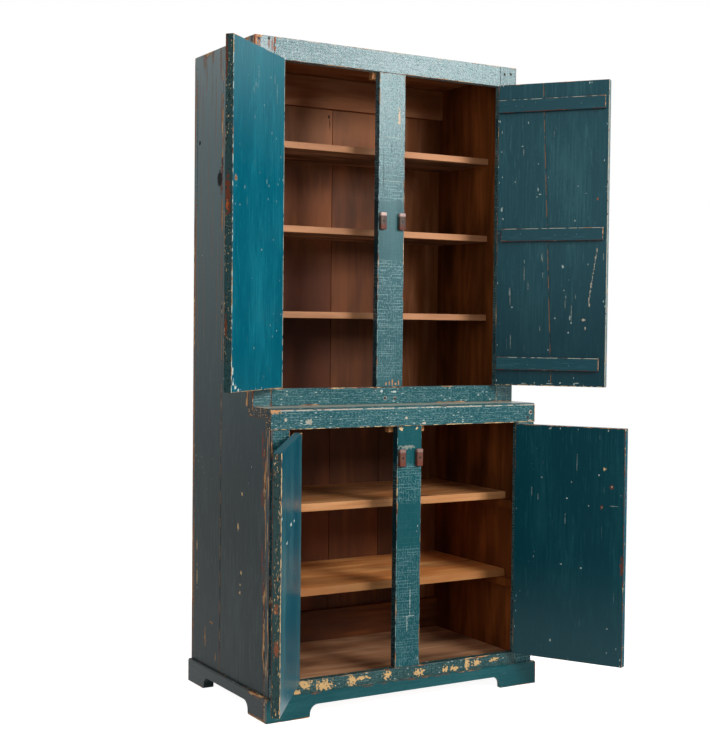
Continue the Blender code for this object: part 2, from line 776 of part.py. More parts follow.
def door_plank(name, door, outline, pivot):
    """An upright board of a door. Its outline is in distances from the hinge axis and levels."""
    points = [(-door.hand * x, z) for x, z in outline]
    mesh = outline_mesh(name, points, DOOR_THICKNESS)
    middle = (0.0, DOOR_FACE + DOOR_THICKNESS / 2, 0.0)
    plank = add_part(name, mesh, pivot, door.finish, middle, (math.pi / 2, 0.0, 0.0))
    ease_edges(plank)


def plain_door(door, width, pivot):
    """One board, with its head sloped down to the free edge where it was planed to fit."""
    start = HINGE_GAP / 2
    outline = [
        (start, door.bottom),
        (start + width, door.bottom),
        (start + width, door.top - door.drop),
        (start, door.top),
    ]
    door_plank(door.name, door, outline, pivot)


def battened_door(door, width, pivot):
    """Two tapered boards, side by side, held by three battens on the inside."""
    start = HINGE_GAP / 2
    seam_top = start + SEAM_FROM_HINGE_TOP
    seam_bottom = start + SEAM_FROM_HINGE_BOTTOM
    half_seam = BOARD_SEAM / 2
    hinge_board = [
        (start, door.bottom),
        (seam_bottom - half_seam, door.bottom),
        (seam_top - half_seam, door.top),
        (start, door.top),
    ]
    free_board = [
        (seam_bottom + half_seam, door.bottom),
        (start + width, door.bottom),
        (start + width, door.top),
        (seam_top + half_seam, door.top),
    ]
    door_plank(f"{door.name}_hinge_board", door, hinge_board, pivot)
    door_plank(f"{door.name}_free_board", door, free_board, pivot)
    low_batten = door.bottom + BATTEN_INSET
    high_batten = door.top - BATTEN_INSET - BATTEN_HEIGHT
    battens = (
        ("bottom", low_batten, BOTTOM_BATTEN_GAPS),
        ("middle", (low_batten + high_batten) / 2, MIDDLE_BATTEN_GAPS),
        ("top", high_batten, TOP_BATTEN_GAPS),
    )
    inside = DOOR_FACE + DOOR_THICKNESS + FIT
    for label, level, (hinge_gap, free_gap) in battens:
        edges = door_span(door.hand, start + hinge_gap, start + width - free_gap)
        low = (edges[0], inside, level)
        high = (edges[1], inside + BATTEN_THICKNESS, level + BATTEN_HEIGHT)
        board(f"{door.name}_{label}_batten", low, high, pivot, door.finish)


def door_list():
    upper_bottom = UPPER_RAIL_TOP + DOOR_EDGE_GAP
    upper_top = TOP_RAIL_BOTTOM - DOOR_EDGE_GAP
    lower_bottom = LOWER_RAIL_TOP + DOOR_EDGE_GAP
    lower_top = COUNTER_RAIL_BOTTOM - DOOR_EDGE_GAP
    worn_top = COUNTER_RAIL_BOTTOM - WORN_HEAD_GAP
    upper = (STEP_DEPTH, UPPER_CENTRE_STILE_WIDTH, upper_bottom, upper_top, 0.0)
    lower = (0.0, LOWER_CENTRE_STILE_WIDTH, lower_bottom, lower_top, 0.0)
    worn = (0.0, LOWER_CENTRE_STILE_WIDTH, lower_bottom, worn_top, WORN_HEAD_DROP)
    teal, bright = TEAL_PAINT, BRIGHT_TEAL_PAINT
    return (
        Door("upper_left_door", -1, *upper, UPPER_LEFT_OPEN_DEG, bright, plain_door),
        Door("upper_right_door", 1, *upper, UPPER_RIGHT_OPEN_DEG, teal, battened_door),
        Door("lower_left_door", -1, *worn, LOWER_LEFT_OPEN_DEG, bright, plain_door),
        Door("lower_right_door", 1, *lower, LOWER_RIGHT_OPEN_DEG, teal, plain_door),
    )


def build_doors():
    for door in door_list():
        pivot = door_pivot(door)
        door.make(door, door_width(door.centre), pivot)
        hang_door(door, pivot)


def build_turn_buttons():
    """Wooden buttons, each turning on its own shank in the centre stile."""
    upper_level = UPPER_RAIL_TOP + UPPER_BUTTON_PART * (TOP_RAIL_BOTTOM - UPPER_RAIL_TOP)
    lower_level = LOWER_RAIL_TOP + LOWER_BUTTON_PART * (COUNTER_RAIL_BOTTOM - LOWER_RAIL_TOP)
    for tier, face, stile_width, level in (
        ("upper", STEP_DEPTH, UPPER_CENTRE_STILE_WIDTH, upper_level),
        ("lower", 0.0, LOWER_CENTRE_STILE_WIDTH, lower_level),
    ):
        stile = bpy.data.objects[f"{tier}_centre_stile"]
        reach = stile_width / 2 - BUTTON_EDGE_INSET - BUTTON_WIDTH / 2
        for hand, side in ((-1, "left"), (1, "right")):
            name = f"{tier}_{side}_turn_button"
            back = -FIT
            mesh, middle = box_mesh(
                name,
                (-BUTTON_WIDTH / 2, back - BUTTON_THICKNESS, -BUTTON_LENGTH / 2),
                (BUTTON_WIDTH / 2, back, BUTTON_LENGTH / 2),
            )
            pivot = add_empty(f"{name}_pivot", (hand * reach, face, level), case)
            button = add_part(name, mesh, pivot, BUTTON_WOOD, middle)
            ease_edges(button, BUTTON_EASED_EDGE)
            along = (math.pi / 2, 0.0, 0.0)
            buried = BUTTON_THICKNESS / 2
            shank_length = BUTTON_SHANK_LENGTH + buried + FIT
            mesh = rod_mesh(f"{name}_shank", BUTTON_SHANK_RADIUS, shank_length, SHANK_SIDES)
            shank_middle = (0.0, BUTTON_SHANK_LENGTH - shank_length / 2, 0.0)
            shank = add_helper(f"{name}_shank", mesh, pivot, shank_middle, along)
            combine(button, shank, "UNION")
            bore_length = 2 * (BUTTON_SHANK_LENGTH + FIT)
            mesh = rod_mesh(f"{name}_bore", BUTTON_SHANK_RADIUS + RUNNING_FIT, bore_length, SHANK_SIDES)
            combine(stile, add_helper(f"{name}_bore", mesh, pivot, (0, 0, 0), along), "DIFFERENCE")


def standing_middle():
    """The middle, in X and Y, of the box round the case and its open doors."""
    xs = [-HALF_WIDTH - PLINTH_THICKNESS, HALF_WIDTH + PLINTH_THICKNESS]
    ys = [-PLINTH_THICKNESS, CASE_DEPTH]
    for door in door_list():
        width = HINGE_GAP / 2 + door_width(door.centre)
        turn = math.radians(door.open_deg)
        pin_x, pin_y = pin_place(door)
        for depth in (DOOR_FACE, DOOR_FACE + DOOR_THICKNESS):
            along = width * math.cos(turn) + depth * math.sin(turn)
            xs.append(pin_x - door.hand * along)
            ys.append(pin_y - width * math.sin(turn) + depth * math.cos(turn))
    return (min(xs) + max(xs)) / 2, (min(ys) + max(ys)) / 2


clear_scene()
parts = new_collection("step_back_cupboard")
cutters = new_collection("cutters")
middle_x, middle_y = standing_middle()
case = add_empty("case", (-middle_x, -middle_y, 0.0))
stile_leaf_mesh = hinge_leaf_mesh("hinge_stile_leaf", STILE_KNUCKLES, -1, False)
door_leaf_mesh = hinge_leaf_mesh("hinge_door_leaf", DOOR_KNUCKLES, 1, True)

build_side(-1, "left_side")
build_side(1, "right_side")
build_counter()
build_horizontal_boards()
build_back()
build_upper_frame()
build_lower_frame()
build_plinth()
build_door_stops()
build_doors()
build_turn_buttons()
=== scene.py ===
"""Looks of the painted step-back cupboard: worn teal paint, old pine, iron hinges, nails and screws."""

import json
import math
from collections import namedtuple

import bmesh
import bpy
from mathutils import Matrix, Vector


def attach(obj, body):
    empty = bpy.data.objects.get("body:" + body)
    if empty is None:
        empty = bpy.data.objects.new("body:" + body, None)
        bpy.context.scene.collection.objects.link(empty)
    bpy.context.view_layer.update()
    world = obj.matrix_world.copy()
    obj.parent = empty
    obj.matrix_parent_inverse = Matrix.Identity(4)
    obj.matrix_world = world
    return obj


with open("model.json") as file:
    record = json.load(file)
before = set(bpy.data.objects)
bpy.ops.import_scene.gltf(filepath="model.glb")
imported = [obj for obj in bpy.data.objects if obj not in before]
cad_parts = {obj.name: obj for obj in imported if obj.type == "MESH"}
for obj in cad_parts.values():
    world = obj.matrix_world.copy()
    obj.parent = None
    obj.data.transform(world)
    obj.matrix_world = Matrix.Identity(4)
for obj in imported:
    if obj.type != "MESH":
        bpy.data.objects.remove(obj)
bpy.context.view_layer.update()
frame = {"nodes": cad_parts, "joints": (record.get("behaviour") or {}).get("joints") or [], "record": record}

# How a screen's colour values turn into linear light
SCREEN_FULL = 255.0
DARK_KNEE = 0.04045
DARK_SLOPE = 12.92
CURVE_LIFT = 0.055
CURVE_POWER = 2.4


def colour(red, green, blue):
    """A colour written as it shows on a screen, 0 to 255, turned into linear light."""
    linear = []
    for value in (red, green, blue):
        share = value / SCREEN_FULL
        if share <= DARK_KNEE:
            linear.append(share / DARK_SLOPE)
        else:
            linear.append(((share + CURVE_LIFT) / (1.0 + CURVE_LIFT)) ** CURVE_POWER)
    return (*linear, 1.0)


# Colours of the cupboard, and of the light and shade painted on it
BRIGHT_TEAL = colour(0, 90, 108)
BRIGHT_TEAL_FADED = colour(20, 116, 132)
GREYED_TEAL = colour(16, 84, 100)
GREYED_TEAL_FADED = colour(62, 114, 122)
FRAME_TEAL = colour(8, 77, 83)
FRAME_TEAL_FADED = colour(42, 101, 105)
DULL_TEAL = colour(22, 66, 67)
DULL_TEAL_FADED = colour(52, 87, 86)
DARK_TEAL = colour(20, 66, 76)
DARK_TEAL_FADED = colour(42, 86, 93)
DEEP_TEAL = colour(6, 58, 68)
DEEP_TEAL_FADED = colour(22, 74, 82)
SLATE_TEAL = colour(34, 48, 50)
SLATE_TEAL_FADED = colour(60, 72, 73)
PALE_SLATE = colour(110, 134, 138)
PAINTED_GLARE = colour(180, 196, 197)
DOOR_HIGHLIGHT = colour(112, 158, 164)
PALER_DEEP_TEAL = colour(56, 86, 92)
DEEP_SHADE = colour(0, 40, 50)
COUNTER_GREY = colour(178, 177, 161)
COUNTER_GREY_FADED = colour(200, 188, 164)
UNDERCOAT = colour(190, 204, 198)
CRACKLE_PALE = colour(158, 194, 195)
WORN_TAN = colour(198, 146, 98)
CREAM_WOOD = colour(222, 190, 142)
SCRAPE_CREAM = colour(222, 190, 160)
ARRIS_CREAM = colour(206, 190, 170)
CHIP_GOLD = colour(224, 182, 124)
RUSSET = colour(112, 56, 34)
RUST_ORANGE = colour(164, 88, 50)
STREAK_BROWN = colour(146, 104, 74)
FLAME_TAN = colour(200, 136, 84)
REAR_TAN = colour(160, 112, 80)
BRICK_RED = colour(150, 70, 56)
RIM_GRIME = colour(42, 52, 49)
RIM_TEAL = colour(50, 64, 58)
DENT_DARK = colour(22, 26, 25)
NEARLY_BLACK = colour(10, 8, 7)
PINE_LIGHT = colour(138, 77, 35)
PINE_MID = colour(96, 49, 19)
PINE_DARK = colour(52, 25, 8)
PINE_PALE = colour(182, 120, 80)
WARM_SHADE = colour(80, 31, 0)
WALL_LIGHT = colour(156, 88, 42)
WALL_MID = colour(112, 60, 26)
SHELF_LIGHT = colour(226, 164, 110)
SHELF_MID = colour(176, 110, 60)
SHELF_DARK = colour(104, 64, 38)
SHELF_FRONT = colour(206, 146, 104)
AMBER_LIGHT = colour(252, 190, 120)
AMBER_MID = colour(224, 140, 72)
AMBER_DARK = colour(132, 80, 44)
FLOOR_WOOD_LIGHT = colour(214, 168, 128)
FLOOR_WOOD_MID = colour(172, 122, 86)
BUTTON_HIGHLIGHT = colour(222, 190, 182)
BUTTON_LIGHT = colour(108, 92, 82)
BUTTON_WARM = colour(124, 82, 66)
BUTTON_MID = colour(78, 58, 50)
BUTTON_DARK = colour(42, 24, 20)
BUTTON_RED = colour(110, 50, 36)
BUTTON_BROWN = colour(98, 56, 44)
IRON = colour(34, 33, 32)
IRON_RUST = colour(52, 38, 30)
PALE_FLOOR = colour(190, 190, 188)
WHITE = colour(255, 255, 255)


# Shader and geometry trees

# Sockets of a mix node: the share, the two things mixed and the result
COLOUR_MIX = (0, 6, 7)
COLOUR_MIX_RESULT = 2
NUMBER_MIX = (0, 2, 3)
NUMBER_MIX_RESULT = 0


class Brush:
    """Adds nodes to one tree. Each call gives back the socket that carries its result."""

    def __init__(self, tree):
        self.tree = tree

    def feed(self, socket, value):
        if isinstance(value, bpy.types.NodeSocket):
            self.tree.links.new(value, socket)
        else:
            socket.default_value = value

    def node(self, kind, inputs, **settings):
        made = self.tree.nodes.new(kind)
        for name, value in settings.items():
            setattr(made, name, value)
        for name, value in inputs.items():
            self.feed(made.inputs[name], value)
        return made

    def math(self, operation, first, second=0.0):
        return self.node("ShaderNodeMath", {0: first, 1: second}, operation=operation).outputs[0]

    def add(self, first, *others):
        total = first
        for other in others:
            total = self.math("ADD", total, other)
        return total

    def times(self, first, *others):
        total = first
        for other in others:
            total = self.math("MULTIPLY", total, other)
        return total

    def vector(self, operation, first, second=(0.0, 0.0, 0.0)):
        made = self.node("ShaderNodeVectorMath", {0: first, 1: second}, operation=operation)
        return made.outputs["Vector"]

    def length(self, value):
        return self.node("ShaderNodeVectorMath", {0: value}, operation="LENGTH").outputs["Value"]

    def parts(self, value):
        return self.node("ShaderNodeSeparateXYZ", {0: value}).outputs

    def join(self, first, second, third):
        return self.node("ShaderNodeCombineXYZ", {0: first, 1: second, 2: third}).outputs[0]

    def rise(self, value, low, high):
        """0 below low, 1 above high, smooth between them."""
        inputs = {"Value": value, "From Min": low, "From Max": high}
        return self.node("ShaderNodeMapRange", inputs, interpolation_type="SMOOTHSTEP").outputs[0]

    def fall(self, value, low, high):
        """1 below low, 0 above high, smooth between them."""
        inputs = {"Value": value, "From Min": low, "From Max": high, "To Min": 1.0, "To Max": 0.0}
        return self.node("ShaderNodeMapRange", inputs, interpolation_type="SMOOTHSTEP").outputs[0]

    def spread(self, value, low, high):
        """A 0 to 1 value stretched to run from low to high."""
        inputs = {"Value": value, "To Min": low, "To Max": high}
        return self.node("ShaderNodeMapRange", inputs).outputs[0]

    def mix(self, share, first, second):
        inputs = dict(zip(COLOUR_MIX, (share, first, second)))
        return self.node("ShaderNodeMix", inputs, data_type="RGBA").outputs[COLOUR_MIX_RESULT]

    def blend(self, share, first, second):
        inputs = dict(zip(NUMBER_MIX, (share, first, second)))
        return self.node("ShaderNodeMix", inputs, data_type="FLOAT").outputs[NUMBER_MIX_RESULT]

    def noise(self, place, stretch, detail=2.0, warp=0.0):
        """Cloudy noise with stretch features to the metre along each axis."""
        scaled = self.vector("MULTIPLY", place, stretch)
        inputs = {"Vector": scaled, "Scale": 1.0, "Detail": detail, "Distortion": warp}
        return self.node("ShaderNodeTexNoise", inputs).outputs[0]

    def patches(self, place, stretch, edge, detail=2.0):
        """Noise cut into patches: 0 below the first value of the edge, 1 above the second."""
        return self.rise(self.noise(place, stretch, detail), *edge)

    def cells(self, place, stretch):
        """Scattered spots: the distance to the nearest one, and its own random colour."""
        scaled = self.vector("MULTIPLY", place, stretch)
        inputs = {"Vector": scaled, "Scale": 1.0}
        return self.node("ShaderNodeTexVoronoi", inputs, feature="F1").outputs

    def uneven_lines(self, position, edge):
        """Straight lines at uneven steps of about one along a position: 1 on a line, 0 between."""
        settings = {"voronoi_dimensions": "1D", "feature": "DISTANCE_TO_EDGE"}
        made = self.node("ShaderNodeTexVoronoi", {"W": position, "Scale": 1.0}, **settings)
        return self.fall(made.outputs["Distance"], *edge)


SOCKET_KINDS = {
    "number": "NodeSocketFloat",
    "count": "NodeSocketInt",
    "colour": "NodeSocketColor",
    "place": "NodeSocketVector",
    "shape": "NodeSocketGeometry",
    "material": "NodeSocketMaterial",
}


def new_group(kind, name, inputs, outputs):
    """A new node group with its brush, its input sockets and the node that takes its results."""
    tree = bpy.data.node_groups.new(name, kind)
    for direction, sockets in (("INPUT", inputs), ("OUTPUT", outputs)):
        for socket, socket_kind in sockets:
            socket_type = SOCKET_KINDS[socket_kind]
            tree.interface.new_socket(socket, in_out=direction, socket_type=socket_type)
    entry = tree.nodes.new("NodeGroupInput")
    leave = tree.nodes.new("NodeGroupOutput")
    return tree, Brush(tree), entry.outputs, leave.inputs


def use_group(brush, tree, inputs):
    return brush.node("ShaderNodeGroup", inputs, node_tree=tree).outputs


FINISH_SOCKETS = [("Color", "colour"), ("Roughness", "number"), ("Height", "number")]

# Timber where the paint has rubbed away
# Stretch values are features to the metre along the grain, across it and through the board.
PATCH_STRETCH = (17.0, 95.0, 95.0)
PATCH_DETAIL = 4.0
CREAM_STRETCH = (34.0, 150.0, 150.0)
CREAM_DETAIL = 3.0
RUSSET_RISE = (0.36, 0.41)
TAN_RISE = (0.43, 0.49)
CREAM_RISE = (0.52, 0.60)


def make_worn_timber():
    """The mixed colours of rubbed timber: grime, russet, tan and cream."""
    inputs = [("Grain", "place")]
    outputs = [("Color", "colour")]
    tree, brush, given, results = new_group("ShaderNodeTree", "worn_timber", inputs, outputs)
    patch = brush.noise(given["Grain"], PATCH_STRETCH, PATCH_DETAIL)
    cream = brush.noise(given["Grain"], CREAM_STRETCH, CREAM_DETAIL)
    tint = brush.mix(brush.rise(patch, *RUSSET_RISE), RIM_GRIME, RUSSET)
    tint = brush.mix(brush.rise(patch, *TAN_RISE), tint, WORN_TAN)
    tint = brush.mix(brush.rise(cream, *CREAM_RISE), tint, CREAM_WOOD)
    brush.feed(results["Color"], tint)
    return tree


WORN_TIMBER = make_worn_timber()


def rubbed_timber(brush, grain):
    return use_group(brush, WORN_TIMBER, {"Grain": grain})["Color"]


# Worn paint: how it fades
CLOUD_STRETCH = (2.2, 8.0, 8.0)
STREAK_STRETCH = (9.0, 150.0, 150.0)
BRIGHT_DASH_STRETCH = (16.0, 210.0, 210.0)
BRIGHT_DASH_RISE = (0.60, 0.72)
BRIGHT_DASH_STRENGTH = 0.9
FINE_STREAK_STRETCH = (14.0, 520.0, 520.0)
MOTTLE_STRETCH = (210.0, 210.0, 210.0)
PAINT_DETAIL = 3.0
CLOUD_SHARE = (-0.75, 1.15)
STREAK_SHARE = (-1.0, 1.0)
FINE_STREAK_SHARE = (-0.5, 0.5)
MOTTLE_SHARE = (-0.3, 0.3)

# Worn paint: crackle, with cracks across the grain and dashes along it
CROSS_CRACKS = 115.0
LONG_DASHES = 125.0
CRACK_BEND_STRETCH = (22.0, 22.0, 22.0)
CRACK_BEND = (-0.35, 0.35)
CROSS_BREAK_STRETCH = (110.0, 20.0, 20.0)
DASH_BREAK_STRETCH = (48.0, 120.0, 120.0)
CROSS_BREAK = (0.42, 0.58)
DASH_BREAK = (0.44, 0.58)
CRACK_EDGE = (0.03, 0.14)
CRACKLE_REGION_STRETCH = (6.0, 12.0, 12.0)
CRACKLE_REGION = (0.20, 0.40)
CROSS_STRENGTH = 0.82
DASH_STRENGTH = 0.62
GRIT_STRETCH = (150.0, 220.0, 220.0)
GRIT_RISE = (0.50, 0.62)
GRIT_STRENGTH = 0.36
SHADOW_GRIT_STRETCH = (130.0, 260.0, 260.0)
SHADOW_GRIT_RISE = (0.54, 0.64)
SHADOW_GRIT_STRENGTH = 0.74

# Worn paint: specks and scratches
SPECK_STRETCH = (62.0, 165.0, 165.0)
SPECK_REGION_STRETCH = (5.0, 9.0, 9.0)
SPECK_GROUPS = (-0.55, 0.55)
SPECK_NEAR_EDGE = (0.003, 0.022)
SPECK_GROWTH = 1.5
SPECK_LIMIT = 0.26
SPECK_RIM = (-0.05, 0.03)
SPECK_STRENGTH = 0.78
SCRATCH_STRETCH = (10.0, 330.0, 330.0)
SCRATCH_RISE = (0.735, 0.765)
SCRATCH_STRENGTH = 0.28

# Worn paint: bare wood along the arrises
RAG_STRETCH = (34.0, 120.0, 120.0)
RAG_DETAIL = 4.0
WEAR_RUN_STRETCH = (8.0, 14.0, 14.0)
WEAR_RUN = (0.46, 0.60)
WEAR_WIDTHS = (-0.9, 2.4)
WEAR_BLUR = 0.0006
FRINGE_GROWTH = 1.7
FRINGE_BLUR = 0.0014
FRINGE_STRENGTH = 0.55

# Worn paint: sheen and relief
PAINT_ROUGHNESS = (0.22, 0.40)
WORN_ROUGHNESS = 0.66
CRACK_DULLNESS = 0.6
STREAK_RELIEF = 0.55
FINE_STREAK_RELIEF = 0.25
MOTTLE_RELIEF = 0.3
CRACK_RELIEF = 0.9


def make_worn_paint():
    inputs = [
        ("Grain", "place"),
        ("Edge", "number"),
        ("Wear", "number"),
        ("Cracks", "number"),
        ("Dashes", "number"),
        ("Specks", "number"),
        ("Edge specks", "number"),
        ("Streaks", "number"),
        ("Paint", "colour"),
        ("Faded", "colour"),
    ]
    tree, brush, given, results = new_group("ShaderNodeTree", "worn_paint", inputs, FINISH_SOCKETS)
    grain = given["Grain"]

    # Fading
    cloud = brush.noise(grain, CLOUD_STRETCH, PAINT_DETAIL)
    streak = brush.noise(grain, STREAK_STRETCH, PAINT_DETAIL)
    fine_streak = brush.noise(grain, FINE_STREAK_STRETCH)
    mottle = brush.noise(grain, MOTTLE_STRETCH, PAINT_DETAIL)
    streak_share = brush.times(brush.spread(streak, *STREAK_SHARE), given["Streaks"])
    fine_share = brush.times(brush.spread(fine_streak, *FINE_STREAK_SHARE), given["Streaks"])
    bright = brush.patches(grain, BRIGHT_DASH_STRETCH, BRIGHT_DASH_RISE)
    bright_share = brush.times(bright, given["Streaks"], BRIGHT_DASH_STRENGTH)
    cloud_share = brush.add(brush.spread(cloud, *CLOUD_SHARE), brush.spread(mottle, *MOTTLE_SHARE))
    fading = brush.add(cloud_share, streak_share, fine_share, bright_share)
    coat = brush.mix(brush.rise(fading, 0.0, 1.0), given["Paint"], given["Faded"])

    # Crackle
    along, across, _ = brush.parts(grain)
    bend = brush.spread(brush.noise(grain, CRACK_BEND_STRETCH), *CRACK_BEND)
    cross = brush.uneven_lines(brush.add(brush.times(along, CROSS_CRACKS), bend), CRACK_EDGE)
    dashes = brush.uneven_lines(brush.add(brush.times(across, LONG_DASHES), bend), CRACK_EDGE)
    cross_kept = brush.patches(grain, CROSS_BREAK_STRETCH, CROSS_BREAK)
    dash_kept = brush.patches(grain, DASH_BREAK_STRETCH, DASH_BREAK)
    region = brush.patches(grain, CRACKLE_REGION_STRETCH, CRACKLE_REGION)
    cross_share = brush.times(cross, cross_kept, region, given["Cracks"])
    dash_share = brush.times(dashes, dash_kept, region, given["Dashes"])
    crack = brush.math("MAXIMUM", cross_share, dash_share)
    gritty = brush.math("MAXIMUM", given["Cracks"], given["Dashes"])
    shadow_grit = brush.patches(grain, SHADOW_GRIT_STRETCH, SHADOW_GRIT_RISE)
    coat = brush.mix(brush.times(shadow_grit, gritty, SHADOW_GRIT_STRENGTH), coat, DARK_TEAL)
    grit = brush.patches(grain, GRIT_STRETCH, GRIT_RISE)
    coat = brush.mix(brush.times(grit, gritty, GRIT_STRENGTH), coat, CRACKLE_PALE)
    coat = brush.mix(brush.times(cross_share, CROSS_STRENGTH), coat, CRACKLE_PALE)
    coat = brush.mix(brush.times(dash_share, DASH_STRENGTH), coat, CRACKLE_PALE)

    # Specks, longer along the grain, in loose groups and near the arrises
    spots = brush.cells(grain, SPECK_STRETCH)
    chance = brush.parts(spots["Color"])[0]
    grouped = brush.spread(brush.noise(grain, SPECK_REGION_STRETCH), *SPECK_GROUPS)
    near_edge = brush.times(brush.fall(given["Edge"], *SPECK_NEAR_EDGE), given["Edge specks"])
    luck = brush.add(chance, grouped, given["Specks"], near_edge)
    reach = brush.times(brush.math("MAXIMUM", brush.add(luck, -1.0), 0.0), SPECK_GROWTH)
    reach = brush.math("MINIMUM", reach, SPECK_LIMIT)
    speck = brush.fall(brush.math("SUBTRACT", spots["Distance"], reach), *SPECK_RIM)
    coat = brush.mix(brush.times(speck, SPECK_STRENGTH), coat, UNDERCOAT)
    scratch = brush.patches(grain, SCRATCH_STRETCH, SCRATCH_RISE)
    coat = brush.mix(brush.times(scratch, SCRATCH_STRENGTH), coat, UNDERCOAT)

    # Bare wood along the arrises, with a dark fringe round it
    rag = brush.noise(grain, RAG_STRETCH, RAG_DETAIL)
    run = brush.patches(grain, WEAR_RUN_STRETCH, WEAR_RUN)
    width = brush.times(given["Wear"], brush.spread(rag, *WEAR_WIDTHS), run)
    bare = brush.fall(brush.math("SUBTRACT", given["Edge"], width), 0.0, WEAR_BLUR)
    fringe_width = brush.times(width, FRINGE_GROWTH)
    fringe = brush.fall(brush.math("SUBTRACT", given["Edge"], fringe_width), 0.0, FRINGE_BLUR)
    coat = brush.mix(brush.times(fringe, FRINGE_STRENGTH), coat, RUSSET)
    coat = brush.mix(bare, coat, rubbed_timber(brush, grain))
    brush.feed(results["Color"], coat)

    # Sheen and relief
    dull = brush.math("MAXIMUM", bare, brush.times(crack, CRACK_DULLNESS))
    sheen = brush.spread(cloud, *PAINT_ROUGHNESS)
    brush.feed(results["Roughness"], brush.blend(dull, sheen, WORN_ROUGHNESS))
    gone = brush.add(brush.math("MAXIMUM", bare, speck), brush.times(crack, CRACK_RELIEF))
    telegraph = brush.add(
        brush.times(streak, STREAK_RELIEF),
        brush.times(fine_streak, FINE_STREAK_RELIEF),
        brush.times(mottle, MOTTLE_RELIEF),
    )
    brush.feed(results["Height"], brush.math("SUBTRACT", telegraph, gone))
    return tree


# Bare pine
PINE_RING_STRETCH = (1.2, 11.0, 11.0)
PINE_RING_WARP = 0.5
PINE_FIBRE_STRETCH = (7.0, 460.0, 460.0)
PINE_BAND_STRETCH = (3.0, 22.0, 22.0)
PINE_PATINA_STRETCH = (2.4, 6.0, 6.0)
PINE_KNOT_STRETCH = (2.4, 7.5, 7.5)
RINGS = 40.0
RING_STRENGTH = 0.14
BAND_SHARE = (-0.70, 1.40)
BAND_DETAIL = 3.0
FIBRE_SHARE = (-0.20, 0.20)
PATINA_DETAIL = 4.0
PATINA_RISE = (0.40, 0.74)
PATINA_STRENGTH = 0.80
KNOT_CHANCE = (0.80, 0.82)
KNOT_FALL = (0.05, 0.13)
KNOT_STRENGTH = 0.85
RUBBED_AND_LIT_FALL = (0.009, 0.014)
RUBBED_AND_LIT_RAG = (-0.003, 0.003)
RUBBED_AND_LIT_SHARE = (0.1, 1.6)
PINE_ROUGHNESS = (0.50, 0.72)
FIBRE_RELIEF = 0.5
BAND_RELIEF = 0.6


def make_bare_pine():
    inputs = [
        ("Grain", "place"),
        ("Edge", "number"),
        ("Edge light", "number"),
        ("Light", "colour"),
        ("Mid", "colour"),
        ("Dark", "colour"),
    ]
    tree, brush, given, results = new_group("ShaderNodeTree", "bare_pine", inputs, FINISH_SOCKETS)
    grain = given["Grain"]
    growth = brush.noise(grain, PINE_RING_STRETCH, warp=PINE_RING_WARP)
    rings = brush.times(brush.math("SINE", brush.times(growth, RINGS)), RING_STRENGTH)
    fibre = brush.noise(grain, PINE_FIBRE_STRETCH)
    band = brush.noise(grain, PINE_BAND_STRETCH, BAND_DETAIL)
    patina = brush.noise(grain, PINE_PATINA_STRETCH, PATINA_DETAIL)
    knots = brush.cells(grain, PINE_KNOT_STRETCH)
    knot_chance = brush.rise(brush.parts(knots["Color"])[1], *KNOT_CHANCE)
    knot = brush.times(brush.fall(knots["Distance"], *KNOT_FALL), knot_chance)
    light = brush.add(rings, brush.spread(band, *BAND_SHARE), brush.spread(fibre, *FIBRE_SHARE))
    body = brush.mix(brush.rise(light, 0.0, 1.0), given["Mid"], given["Light"])
    grime = brush.rise(patina, *PATINA_RISE)
    body = brush.mix(brush.times(grime, PATINA_STRENGTH), body, given["Dark"])
    # Pale arrises, partly rubbed wear and partly painted light
    rubbed = brush.fall(brush.add(given["Edge"], brush.spread(band, *RUBBED_AND_LIT_RAG)), *RUBBED_AND_LIT_FALL)
    rubbed = brush.times(rubbed, given["Edge light"], brush.spread(band, *RUBBED_AND_LIT_SHARE))
    body = brush.mix(brush.math("MINIMUM", rubbed, 1.0), body, given["Light"])
    body = brush.mix(brush.times(knot, KNOT_STRENGTH), body, given["Dark"])
    brush.feed(results["Color"], body)
    brush.feed(results["Roughness"], brush.spread(fibre, *PINE_ROUGHNESS))
    relief = brush.add(brush.times(fibre, FIBRE_RELIEF), brush.times(band, BAND_RELIEF))
    brush.feed(results["Height"], relief)
    return tree


def make_board_edges():
    """How far a place is from the nearest arris of a square board, from its half sizes."""
    inputs = [("Place", "place"), ("Half", "place")]
    outputs = [("Edge", "number")]
    tree, brush, given, results = new_group("ShaderNodeTree", "board_edges", inputs, outputs)
    reach = brush.vector("ABSOLUTE", given["Place"])
    along, across, through = brush.parts(brush.vector("SUBTRACT", given["Half"], reach))
    nearer = brush.math("MINIMUM", along, across)
    farther = brush.math("MAXIMUM", along, across)
    edge = brush.math("MAXIMUM", nearer, brush.math("MINIMUM", farther, through))
    brush.feed(results["Edge"], edge)
    return tree


WORN_PAINT = make_worn_paint()
BARE_PINE = make_bare_pine()
BOARD_EDGES = make_board_edges()


# Where each board stands
ACROSS, DEPTH, UP = range(3)
TENON_LENGTH = 0.020
NO_TENONS = (0.0, 0.0, 0.0)
RAIL_TENONS = (TENON_LENGTH, 0.0, 0.0)
STILE_TENONS = (0.0, 0.0, TENON_LENGTH)
DOOR_BODIES = {
    "upper_left_door_body": 1.0,
    "upper_right_door_body": -1.0,
    "lower_left_door_body": 1.0,
    "lower_right_door_body": -1.0,
}
Stand = namedtuple("Stand", "origin turn hand")
Place = namedtuple("Place", "stand middle half centre")


def body_of_node(node):
    groups = frame["record"]["behaviour"]["bodies"]
    return next(body for body, nodes in groups.items() if node in nodes)


def stand_of(body):
    """Where a body's own axes stand: a door's at its pin, turned as far as it stands open."""
    if body not in DOOR_BODIES:
        return Stand(Vector(), 0.0, 1.0)
    swing = next(joint for joint in frame["joints"] if joint["child"] == body)
    x, y, _ = swing["pos_m"]
    open_turn = math.radians(-swing["range_deg"][0]) * swing["axis"][2]
    return Stand(Vector((x, y, 0.0)), open_turn, DOOR_BODIES[body])


